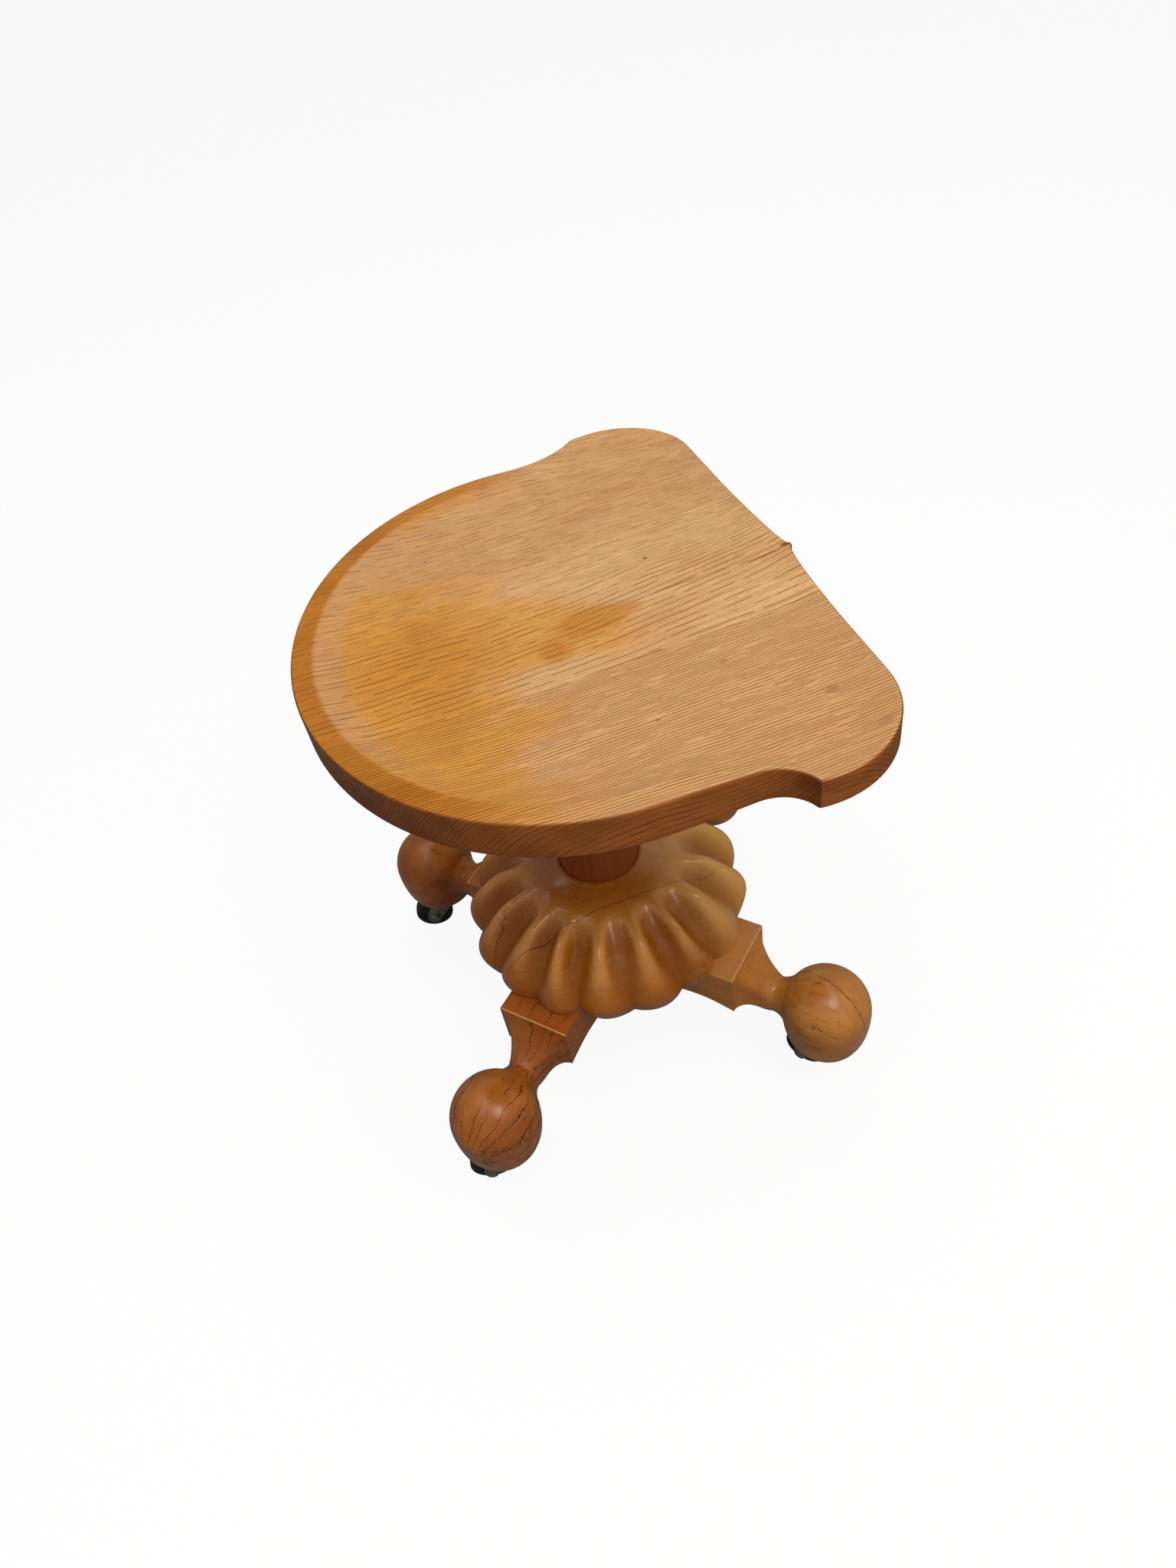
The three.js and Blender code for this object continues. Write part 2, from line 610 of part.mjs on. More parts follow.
const boltTop = plateUnder + BOLT_LENGTH;
{
  const bolt = rod(BOLT_RADIUS, plateUnder - FIT, boltTop, SMALL_SIDES)
    .add(rod(BOLT_HEAD_RADIUS, plateUnder - FIT - BOLT_HEAD_HEIGHT, plateUnder - FIT, HEX_SIDES));
  const hole = bore(BOLT_RADIUS, plateUnder, boltTop + FIT - OVERRUN, SMALL_SIDES);
  const holes = LEGS.map((name, i) => turnedBy(moved(hole, BOLT_REACH, 0, 0), legAngle(i)));
  const [long, wide] = [DOME_RADIUS + OVERRUN, legHalf + FIT];
  const channel = block([-long, -wide, legUnder - OVERRUN], [long, wide, LEG_TOP + FIT]);
  const dome = cutAll(domeSolid(), [
    turnedBy(channel, legAngle(0)),
    turnedBy(channel, legAngle(1)),
    bore(PILLAR_RADIUS, legUnder, DOME_TOP, FINE_SIDES),
    ...holes,
  ]);
  baseGroup.add(piece('dome', dome, maple));

  const plate = rod(PLATE_RADIUS, plateUnder, plateTop, FINE_SIDES);
  baseGroup.add(piece('under_plate', cutAll(plate, [...holes, ...footHoles]), steel));

  LEGS.forEach((name, i) => {
    baseGroup.add(piece(`leg_${name}`, turnedBy(legSolid(), legAngle(i)), maple));
    const place = moved(bolt, BOLT_REACH, 0, 0);
    baseGroup.add(piece(`leg_bolt_${name}`, turnedBy(place, legAngle(i)), steel));
  });
}

// Casters: each is made about its own swivel axis, with its wheel trailing along +X
const socketTop = FOOT_BOTTOM - FIT;
const socketUnder = socketTop - SOCKET_FLANGE_THICKNESS;
const raceTop = socketUnder - FIT;
const crownTop = raceTop - RACE_HEIGHT;
const crownUnder = crownTop - FORK_METAL;
const cheekInner = HUB_BOSS_WIDTH / 2 + WHEEL_GAP;
const cheekOuter = cheekInner + FORK_METAL;

// Lays a solid made about Z across the caster, on the axle's line.
function onAxle(body) {
  return body.rotate([90, 0, 0]).translate([CASTER_TRAIL, 0, WHEEL_RADIUS]);
}

function cheek(side) {
  const outline = new THREE.Shape();
  outline.moveTo(-RACE_RADIUS, crownTop);
  outline.lineTo(-RACE_RADIUS, crownUnder);
  outline.absarc(CASTER_TRAIL, WHEEL_RADIUS, FORK_EYE_RADIUS, EYE_START, EYE_END, false);
  outline.lineTo(RACE_RADIUS, crownTop);
  const plate = new THREE.ExtrudeGeometry(
    outline, { depth: FORK_METAL, bevelEnabled: false, curveSegments: CURVE_STEPS });
  return solid(plate.rotateX(QUARTER_TURN)).translate([0, side > 0 ? cheekOuter : -cheekInner, 0]);
}

function forkSolid() {
  const crown = block(
    [-RACE_RADIUS, -cheekOuter, crownUnder], [RACE_RADIUS, cheekOuter, crownTop]);
  const eyes = onAxle(bore(AXLE_RADIUS, -cheekOuter, cheekOuter, SMALL_SIDES));
  return crown.add(cheek(1)).add(cheek(-1))
    .add(rod(RACE_RADIUS, crownTop, raceTop))
    .add(rod(STEM_RADIUS, crownTop, FOOT_BOTTOM + STEM_LENGTH, SMALL_SIDES))
    .subtract(eyes);
}

function tyreSolid() {
  const inner = (HUB_RADIUS + FIT) / Math.cos(Math.PI / WHEEL_SIDES);
  const outer = WHEEL_RADIUS / Math.cos(Math.PI / WHEEL_SIDES);
  const half = TYRE_WIDTH / 2;
  const profile = [
    [inner, -half],
    [outer - TYRE_ROUNDING, -half],
    [outer, TYRE_ROUNDING - half],
    [outer, half - TYRE_ROUNDING],
    [outer - TYRE_ROUNDING, half],
    [inner, half],
    [inner, -half],
  ];
  return onAxle(turnedBy(turned(profile, WHEEL_SIDES), Math.PI / WHEEL_SIDES));
}

function hubSolid() {
  const half = TYRE_WIDTH / 2;
  const disc = rod(HUB_RADIUS, -half, half, WHEEL_SIDES)
    .add(rod(HUB_BOSS_RADIUS, -HUB_BOSS_WIDTH / 2, HUB_BOSS_WIDTH / 2, SMALL_SIDES))
    .subtract(bore(AXLE_RADIUS, -HUB_BOSS_WIDTH / 2, HUB_BOSS_WIDTH / 2, SMALL_SIDES));
  return onAxle(turnedBy(disc, Math.PI / WHEEL_SIDES));
}

const nutStart = cheekOuter + FIT;
const nutEnd = nutStart + AXLE_HEAD_HEIGHT;

function axleSolid() {
  return onAxle(rod(AXLE_RADIUS, -nutStart, nutEnd + AXLE_END, SMALL_SIDES)
    .add(rod(AXLE_HEAD_RADIUS, -nutEnd, -nutStart, HEX_SIDES)));
}

function axleNutSolid() {
  return onAxle(rod(AXLE_HEAD_RADIUS, nutStart, nutEnd, HEX_SIDES)
    .subtract(bore(AXLE_RADIUS, nutStart, nutEnd, SMALL_SIDES)));
}

function socketSolid() {
  const top = FOOT_BOTTOM + STEM_LENGTH;
  return rod(SOCKET_FLANGE_RADIUS, socketUnder, socketTop)
    .add(rod(SOCKET_RADIUS, socketUnder, top, SMALL_SIDES))
    .subtract(bore(STEM_RADIUS, socketUnder, top, SMALL_SIDES));
}

function caster(name, turn) {
  const whole = new THREE.Group();
  whole.add(piece(`caster_socket_${name}`, socketSolid(), steel));
  whole.add(piece(`caster_fork_${name}`, forkSolid(), steel));
  whole.add(piece(`caster_axle_${name}`, axleSolid(), steel));
  whole.add(piece(`caster_nut_${name}`, axleNutSolid(), steel));
  whole.add(piece(`caster_wheel_${name}`, hubSolid(), blackPlastic));
  whole.add(piece(`caster_tyre_${name}`, tyreSolid(), rubber));
  whole.rotation.z = turn - BASE_TURN;
  return whole;
}

LEGS.forEach((name, i) => {
  const whole = caster(name, CASTER_TURNS[i]);
  whole.position.set(
    FOOT_REACH * Math.cos(legAngle(i)), FOOT_REACH * Math.sin(legAngle(i)), 0);
  baseGroup.add(whole);
});

const group = new THREE.Group();
group.name = 'piano_stool';
group.add(seatGroup, bufferWasher, baseGroup);
export default group;
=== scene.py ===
import bmesh
import bpy
import numpy as np
from mathutils import Matrix, Vector


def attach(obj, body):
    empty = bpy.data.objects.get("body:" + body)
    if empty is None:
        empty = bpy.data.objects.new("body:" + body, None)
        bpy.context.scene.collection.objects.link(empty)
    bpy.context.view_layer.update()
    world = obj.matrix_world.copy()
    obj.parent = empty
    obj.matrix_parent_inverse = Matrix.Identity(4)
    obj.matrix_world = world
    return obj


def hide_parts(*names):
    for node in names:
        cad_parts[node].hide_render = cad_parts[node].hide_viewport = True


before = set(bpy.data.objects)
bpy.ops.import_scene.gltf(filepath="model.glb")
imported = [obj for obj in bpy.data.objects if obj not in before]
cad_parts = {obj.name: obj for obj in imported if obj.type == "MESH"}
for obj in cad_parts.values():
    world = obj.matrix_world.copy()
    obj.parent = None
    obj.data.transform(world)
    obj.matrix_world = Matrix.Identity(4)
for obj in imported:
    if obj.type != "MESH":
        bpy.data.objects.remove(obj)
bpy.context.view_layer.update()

# Revolving piano stool: a saddle seat of oak boards on a steel screw, a pillar, a carved
# dome and four legs with bell feet on casters. Every length below is in millimetres until
# a piece's points go into its mesh. The floor is z = 0 and the seat's front is towards -Y.
MM = 0.001
TAU = 2 * np.pi
QUARTER = np.pi / 2
LEGS = ("front_right", "rear_right", "rear_left", "front_left")
# The legs stand this far off the seat's diagonals, and each caster has a turn of its own
BASE_TURN = -0.0576
LEG_ANGLES = (np.arange(4) - 0.5) * QUARTER + BASE_TURN
CASTER_TURNS = (1.05, 1.373, 1.373, 0.59)
# From the stool's axis to the middle of a foot
FOOT_REACH = 205.0
# Radius of the bores for the lead screw
SCREW_BORE = 12.8


# Shapes

def smooth(low, high, value):
    """Eased step from 0 at low to 1 at high: 3t^2 - 2t^3 of the way t between them."""
    t = np.clip((value - low) / (high - low), 0, 1)
    return t * t * (3 - 2 * t)


def eased(corners, radius, closed=False, steps=6):
    """Outline with rounded corners. At each corner P the curve (1-t)^2 A + 2t(1-t) P + t^2 C
    runs from A to C, which lie on its two edges a radius away, or nearer on a short edge."""
    P = np.array(corners, float)
    back, ahead = np.roll(P, 1, 0) - P, np.roll(P, -1, 0) - P
    before, after = np.hypot(*back.T), np.hypot(*ahead.T)
    cut = np.minimum(np.broadcast_to(radius, len(P)), 0.48 * np.minimum(before, after))
    A = P + back * (cut / before)[:, None]
    C = P + ahead * (cut / after)[:, None]
    t = np.linspace(0, 1, steps)[None, :, None]
    curve = (1 - t) ** 2 * A[:, None] + 2 * t * (1 - t) * P[:, None] + t ** 2 * C[:, None]
    if closed:
        return curve.reshape(-1, 2)
    return np.vstack([P[:1], curve[1:-1].reshape(-1, 2), P[-1:]])


def flowing(rows, steps):
    """Smooth curve through rows of numbers: a Catmull-Rom cubic between each two."""
    P = np.array(rows, float)
    P = np.vstack([2 * P[0] - P[1], P, 2 * P[-1] - P[-2]])
    t = np.linspace(0, 1, steps, endpoint=False)[None, :, None]
    a, b, c, d = P[:-3, None], P[1:-2, None], P[2:-1, None], P[3:, None]
    cubic = (2 * b + (c - a) * t + (2 * a - 5 * b + 4 * c - d) * t ** 2
             + (3 * b - a - 3 * c + d) * t ** 3) / 2
    return np.vstack([cubic.reshape(-1, P.shape[1]), P[-2:-1]])


def angles(sides):
    """Even angles once around."""
    return np.arange(sides) / sides * TAU


def around(r, a, z):
    """Points (r cos a, r sin a, z)."""
    return np.stack(np.broadcast_arrays(r * np.cos(a), r * np.sin(a), z), -1)


def turned(profile, sides):
    """Turned shape: the points around the axis at each [r, z] of the profile."""
    r, z = np.array(profile).T[:, :, None]
    return around(r, angles(sides), z)


def rod(radius, low, high, ease, sides=48):
    """Turned bar with eased ends, closed by a pole at each end."""
    return shell(turned(eased([[0, low], [radius, low], [radius, high], [0, high]],
                              [0, ease, ease, 0]), sides))


def lathed(section, ease, sides):
    """Turned ring: its section is a closed outline with eased corners."""
    return shell(turned(eased(section, ease, True), sides), True)


def sleeve(inner, outer, low, high, ease):
    return lathed([[inner, low], [outer, low], [outer, high], [inner, high]], ease, 96)


def hexagon(corner, low, high, chamfer_below, chamfer_above):
    """Six-sided head with its corners at the radius corner: R(a) = apothem /
    cos(a mod 60 - 30 degrees). Its end faces fall away with (r - 0.97 apothem) tan 30 where
    they are chamfered, with 1 for a chamfer and 0 for none."""
    a = angles(72)
    apothem = corner * np.cos(np.pi / 6)
    reach = apothem / np.cos(np.mod(a, TAU / 6) - TAU / 12)
    share = np.array([0, 0.5, 0.8, 0.88, 0.94, 1])[:, None]
    fall = np.maximum(0, share * reach - apothem * 0.97) * np.tan(np.pi / 6)
    r = share * reach
    bottom = around(r, a, low + fall * chamfer_below)
    top = around(r, a, high - fall * chamfer_above)
    return shell(np.concatenate([bottom, top[::-1]]))


def plate(outline, low, high, ease):
    """Flat plate: the outline drawn in and eased towards both faces, about its middle."""
    outline = np.array(outline)
    middle = outline.mean(0)
    reach = np.hypot(*(outline - middle).T).mean()
    turn = np.linspace(0, QUARTER, 4)
    fall, rise = ease * (1 - np.sin(turn)), ease * (1 - np.cos(turn))
    inward = np.concatenate([[reach], fall, rise, [reach]])
    height = np.concatenate([[low], low + rise, high - fall, [high]])
    share = 1 - inward / reach
    flat = middle + (outline - middle)[None] * share[:, None, None]
    return shell(np.dstack([flat, np.broadcast_to(height[:, None], flat.shape[:2])]))


def shell(grid, closed=False):
    """Points and four-sided faces of a grid whose columns meet, as its rows do if closed."""
    rows, cols = grid.shape[:2]
    index = np.arange(rows * cols).reshape(rows, cols)
    if closed:
        index = np.vstack([index, index[:1]])
    a, b = index[:-1], index[1:]
    faces = np.stack([a, np.roll(a, -1, 1), np.roll(b, -1, 1), b], -1)
    return grid.reshape(-1, 3), faces.reshape(-1, 4)


def moved(part, origin=(0, 0, 0), turn=0.0):
    """A shell turned about Z by an angle and then moved."""
    points, faces = part
    c, s = np.cos(turn), np.sin(turn)
    return points @ np.array([[c, s, 0], [-s, c, 0], [0, 0, 1]]) + np.array(origin), faces


def laid(part, origin=(0, 0, 0)):
    """A shell made about Z, laid down along Y: (x, y, z) becomes (x, -z, y)."""
    points, faces = part
    return points @ np.array([[1, 0, 0], [0, 0, 1], [0, -1, 0]]) + np.array(origin), faces


def placed(name, data):
    """A new object of the scene that holds the data."""
    made = bpy.data.objects.new(name, data)
    bpy.context.scene.collection.objects.link(made)
    return made


def piece(name, body, finish, parts, instead, crease=38, slot=None, **attributes):
    """One mesh from shells of points in millimetres, on a body of the frame, shown instead of
    the solids named. Doubled points are merged, faces point outwards, and edges sharper than
    the crease stay sharp. A slot is worked out from the slot given or from the finish's name,
    without the number that Blender adds to it, but it is not used. Attributes hold a number
    or a vector for each point."""
    starts = np.cumsum([0] + [len(points) for points, _ in parts[:-1]])
    points = np.concatenate([points for points, _ in parts]) * MM
    faces = np.concatenate([faces + start for (_, faces), start in zip(parts, starts)])
    mesh = bpy.data.meshes.new(name)
    mesh.from_pydata(points, [], faces)
    for label, values in attributes.items():
        kind, field = ("FLOAT", "value") if np.ndim(values) == 1 else ("FLOAT_VECTOR", "vector")
        mesh.attributes.new(label, kind, "POINT").data.foreach_set(
            field, np.ascontiguousarray(values, np.float32).ravel())
    tidy(mesh, crease)
    made = placed(name, mesh)
    mesh.materials.append(finish)
    slot = slot or finish.name.partition(".")[0]
    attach(made, body)
    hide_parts(*instead)
    return made


def tidy(mesh, crease):
    """Merges doubled points, turns faces outwards and marks the sharp edges."""
    work = bmesh.new()
    work.from_mesh(mesh)
    bmesh.ops.remove_doubles(work, verts=work.verts, dist=2e-6)
    bmesh.ops.recalc_face_normals(work, faces=work.faces)
    work.to_mesh(mesh)
    work.free()
    mesh.shade_smooth()
    mesh.set_sharp_from_angle(angle=np.radians(crease))


# Finishes

def tone(red, green, blue):
    """A screen colour, 0 to 255, as the linear colour that a shader takes."""
    c = np.array([red, green, blue]) / 255
    return (*np.where(c < 0.04045, c / 12.92, ((c + 0.055) / 1.055) ** 2.4), 1.0)


def maths(operation, swapped=False):
    """A method of Wire that adds a Math node, with the wire as its last value if swapped."""
    def method(self, *other):
        values = (*other, self) if swapped else (self, *other)
        return self.finish.add("Math", values, operation=operation)
    return method


class Wire:
    """An output of a finish's nodes. Sums of wires and numbers add Math nodes."""

    def __init__(self, finish, socket):
        self.finish, self.socket = finish, socket

    __add__ = __radd__ = maths("ADD")
    __mul__ = __rmul__ = maths("MULTIPLY")
    __sub__, __rsub__ = maths("SUBTRACT"), maths("SUBTRACT", swapped=True)
    __truediv__, __pow__, __abs__ = maths("DIVIDE"), maths("POWER"), maths("ABSOLUTE")


class Finish:
    """A material whose colour, gloss and relief are worked out at each point."""

    def __init__(self, name, **constants):
        self.material = bpy.data.materials.new(name)
        self.material.use_nodes = True
        self.tree = self.material.node_tree
        self.skin = self.tree.nodes["Principled BSDF"]
        for label, value in constants.items():
            self.skin.inputs[label.replace("_", " ")].default_value = value
        metres = self.add("TexCoord", output="Object")
        self.go_by(self.scaled(metres, (1000, 1000, 1000)))

    def go_by(self, spot):
        """Takes the place that the finish is worked out from, in millimetres."""
        self.spot = spot
        self.x, self.y, self.z = (self.add("SeparateXYZ", (spot,), axis) for axis in "XYZ")

    def add(self, kind, inputs=(), output=0, **settings):
        """Adds a node with its settings, then gives its inputs values or wires."""
        node = self.tree.nodes.new("ShaderNode" + kind)
        for label, value in settings.items():
            setattr(node, label, value)
        labelled = inputs.items() if isinstance(inputs, dict) else enumerate(inputs)
        for label, value in labelled:
            self.join(node.inputs[label], value)
        return Wire(self, node.outputs[output])

    def join(self, socket, value):
        """Gives a socket a wire or a constant."""
        if isinstance(value, Wire):
            self.tree.links.new(value.socket, socket)
        else:
            socket.default_value = value

    def scaled(self, vector, factors):
        return self.add("VectorMath", (vector, factors), operation="MULTIPLY")

    def vector(self, x, y, z):
        return self.add("CombineXYZ", (x, y, z))

    def noise(self, vector, scale=1.0, detail=2.0, roughness=0.5, warp=0.0, shift=0.0):
        """Soft noise about 0.5 of a vector, or of the place times three factors. The shift
        moves to another part of the pattern."""
        if isinstance(vector, tuple):
            vector = self.scaled(self.spot, vector)
        moved_on = self.add("VectorMath", (vector, (shift, shift * 0.7, shift * 1.3)))
        return self.add("TexNoise", {"Vector": moved_on, "Scale": scale, "Detail": detail,
                                     "Roughness": roughness, "Distortion": warp})

    def step(self, low, high, value):
        """Eased step from 0 at low to 1 at high."""
        return self.add("MapRange", {"Value": value, "From Min": low, "From Max": high},
                        interpolation_type="SMOOTHSTEP")

    def least(self, a, b):
        return self.add("Math", (a, b), operation="MINIMUM")

    def most(self, a, b):
        return self.add("Math", (a, b), operation="MAXIMUM")

    def fraction(self, value):
        return self.add("Math", (value,), operation="FRACT")

    def attribute(self, label, output):
        return self.add("Attribute", output=output, attribute_name=label)

    def mixed(self, share, a, b):
        """Colour a, going over to colour b with the share. A Mix node has its colours at the
        inputs 6 and 7, and its mixed colour at the output 2."""
        return self.add("Mix", {0: share, 6: a, 7: b}, 2, data_type="RGBA")

    def over(self, share, colour):
        """Lays a colour over the finish's own with the share."""
        self.colour = self.mixed(share, self.colour, colour)

    def done(self, roughness, relief, depth, coat=0.0):
        """Joins colour, roughness, relief (its depth in millimetres) and coat of varnish."""
        self.join(self.skin.inputs["Base Color"], self.colour)
        self.join(self.skin.inputs["Roughness"], roughness)
        self.join(self.skin.inputs["Coat Weight"], coat)
        bump = self.add("Bump", {"Height": relief, "Distance": depth * MM, "Strength": 1.0})
        self.join(self.skin.inputs["Normal"], bump)
        return self.material


def darker(colour, share):
    """A colour with its red, green and blue cut to a share."""
    return tuple(c * share for c in colour[:3]) + (1.0,)


def oak():
    """Three oak boards glued side by side: rows of dark pores that run front to back and lean
    through the thickness, an orange stain in the dish, a darker rim at the back with painted
    light that makes the slope inside it pale, and dark side faces. The seat's own attributes
    say where its rim is (rim), how far a point lies inside the outline (inset) and where the
    end grain is (end)."""
    f = Finish("seat_oak", Specular_IOR_Level=0.14)
    x, y, z = f.x, f.y, f.z
    seam_left, seam_right, half_seam = -64, 78, 0.2
    left = f.step(seam_left + half_seam, seam_left - half_seam, x)
    right = f.step(seam_right - half_seam, seam_right + half_seam, x)
    middle = 1 - left - right
    lean = (z - 440) * 0.55
    bend = f.least(y - 50, 0.0) * f.step(-110, -10, x) * f.step(80, 0, x) * 0.114
    sway = (f.noise((0.010, 0.005, 0.01)) - 0.5) * 16
    ripple = (f.noise((0.06, 0.02, 0.1), shift=7) - 0.5) * 2.6
    across = x + lean + bend * middle + sway + ripple
    cloud = f.noise((0.02, 0.008, 0.02), detail=4, roughness=0.6, shift=4)
    patch = f.noise((0.05, 0.018, 0.05), detail=3, roughness=0.55, shift=14)

    def dashes(spacing, width, share, pace, shift):
        """Rows of dashes: a row is on where a noise that is its own along the row is high."""
        phase = across / spacing
        row = f.add("Math", (phase,), operation="FLOOR")
        along = f.noise(f.vector(row * 3.17, y * pace + row * 11.3, shift), detail=1)
        thin = width / spacing
        line = f.step(thin, thin * 0.3, abs(f.fraction(phase) - 0.5) * 2)
        return line * f.step(share, share + 0.06, along)

    # each board has its own rows, and the middle one changes over to the right one's
    wide_rows = 5.6
    beside = right + f.step(20, 50, x) * middle
    coarse = dashes(wide_rows, 0.85, 0.42, 0.045, 0.0) * middle * f.step(50, 20, x)
    coarse = coarse + dashes(4.6, 0.8, 0.5, 0.06, 5.0) * beside * 0.75
    coarse = coarse + dashes(2.6, 0.62, 0.32, 0.03, 9.0) * left * 0.9
    finer = dashes(2.3, 0.55, 0.42, 0.035, 13.0)
    hair = f.noise(f.vector(across * 1.7, y * 0.14, z * 0.5), detail=3, roughness=0.7)
    speck = f.noise(f.vector(across * 2.6, y * 0.9, z * 2.0), roughness=0.7, shift=3)
    rows = 1 - abs(f.fraction(across / wide_rows) - 0.5) * 2
    band = f.step(0.2, 0.95, rows) * (middle + right * 0.5)

    f.colour = f.mixed(left, tone(217, 173, 121), tone(209, 160, 109))
    f.over(right, tone(208, 162, 110))
    f.over(f.step(0.40, 0.68, cloud) * 0.55, tone(204, 148, 96))
    f.over(f.step(0.48, 0.70, patch) * (0.25 + right * 0.3), tone(196, 143, 98))
    f.over(band * 0.22, tone(186, 134, 82))
    f.over(f.step(0.44, 0.74, hair) * 0.42, tone(176, 122, 72))
    # stain over the rear half of the dish, with a tail that runs forward and darker patches
    wander = (cloud - 0.5) * 150 + (patch - 0.5) * 90
    back_part = f.step(10, 90, y + wander) * f.step(176, 150, y)
    spread = f.step(130, 60, x + wander) * f.step(-210, -150, x)
    wedge = f.step(-60, -20, y + wander * 0.3) * f.step(-56, -26, x + wander * 0.3)
    wedge = wedge * f.step(16, -26, x + 8 - (y + 55) * 0.7 + wander * 0.3)
    stain = f.most(back_part * spread, wedge * 0.75)
    on_top = f.step(436, 441, z)
    f.over(stain * on_top * 0.92, tone(212, 147, 60))
    dark = f.step(90, 10, abs(x + 5) * 0.62 + abs(y - 92) * 0.9 + wander * 0.5) * 0.75
    for place, wide, long in (((-12, -24), 18, 34), ((-28, 8), 14, 16)):
        away = ((x - place[0]) / wide) ** 2 + ((y - place[1]) / long) ** 2
        dark = f.most(dark, f.step(1.3, 0.1, away + wander * 0.014) * 0.9)
    f.over(dark * on_top * 0.85, tone(192, 122, 38))
    # the raised rim is a deeper orange, the slope inside it is paled with painted light, and the
    # right flank has a stain of its own
    rim, inset = f.attribute("rim", "Fac"), f.attribute("inset", "Fac")
    # painted light: the slope just inside the rim, at the back, is paled
    slope = f.step(13, 17, inset) * f.step(42, 26, inset)
    slope = slope * f.step(40, 130, y) * f.step(-150, -40, x)
    f.over(slope * on_top * 0.65, tone(198, 149, 104))
    orange = f.mixed(f.step(0.3, 0.7, cloud), tone(188, 118, 30), tone(170, 98, 22))
    f.over(rim * 0.95, orange)
    flank = f.step(36, 10, inset + (patch - 0.5) * 16) * f.step(-30, 15, y)
    flank = flank * f.step(110, 60, y) * f.step(140, 170, x)
    f.over(flank * on_top * 0.7, tone(196, 128, 48))
    # side faces, darkest where they cut across the grain, and then the pores
    side = f.step(1.6, 0.2, inset)
    edge = f.mixed(f.step(0.35, 0.7, patch), tone(166, 94, 38), tone(142, 78, 28))
    edge = f.mixed(f.attribute("end", "Fac") * 0.75, edge, tone(106, 54, 16))
    f.over(side, edge)
    stained = f.most(stain * on_top, f.most(rim, side))
    pore_tone = f.mixed(stained, tone(138, 88, 46), tone(112, 60, 16))
    f.over(coarse * (0.75 - side * 0.4), pore_tone)
    f.over(finer * 0.52, pore_tone)
    f.over(f.step(0.60, 0.80, speck) * 0.18, tone(142, 94, 52))
    # glue lines and a few marks of wear
    glue = f.step(0.5, 0.1, abs(x - seam_left)) + f.step(0.5, 0.1, abs(x - seam_right)) * 0.7
    f.over(glue * 0.35, tone(130, 82, 42))
    for place, size, strength, colour in (
            ((-7, -172), 3.4, 0.8, tone(98, 56, 32)), ((-190, -146), 5.5, 0.5, tone(168, 118, 88)),
            ((-150, -132), 4.5, 0.4, tone(134, 92, 56)), ((38, -82), 1.5, 0.85, tone(90, 52, 24)),
            ((-126, -27), 1.6, 0.7, tone(128, 80, 42)), ((-95, -85), 2.6, 0.35, tone(140, 92, 54))):
        away = ((x - place[0]) ** 2 + (y - place[1]) ** 2 * 0.5) ** 0.5
        spot = f.step(size, size * 0.4, away + (hair - 0.5) * size * 2.5) * on_top * strength
        f.over(spot, colour)
    rough = 0.44 + hair * 0.12 - rim * 0.1
    height = coarse * -1.0 + finer * -0.5 - hair * 0.35
    return f.done(rough, height, 0.35)


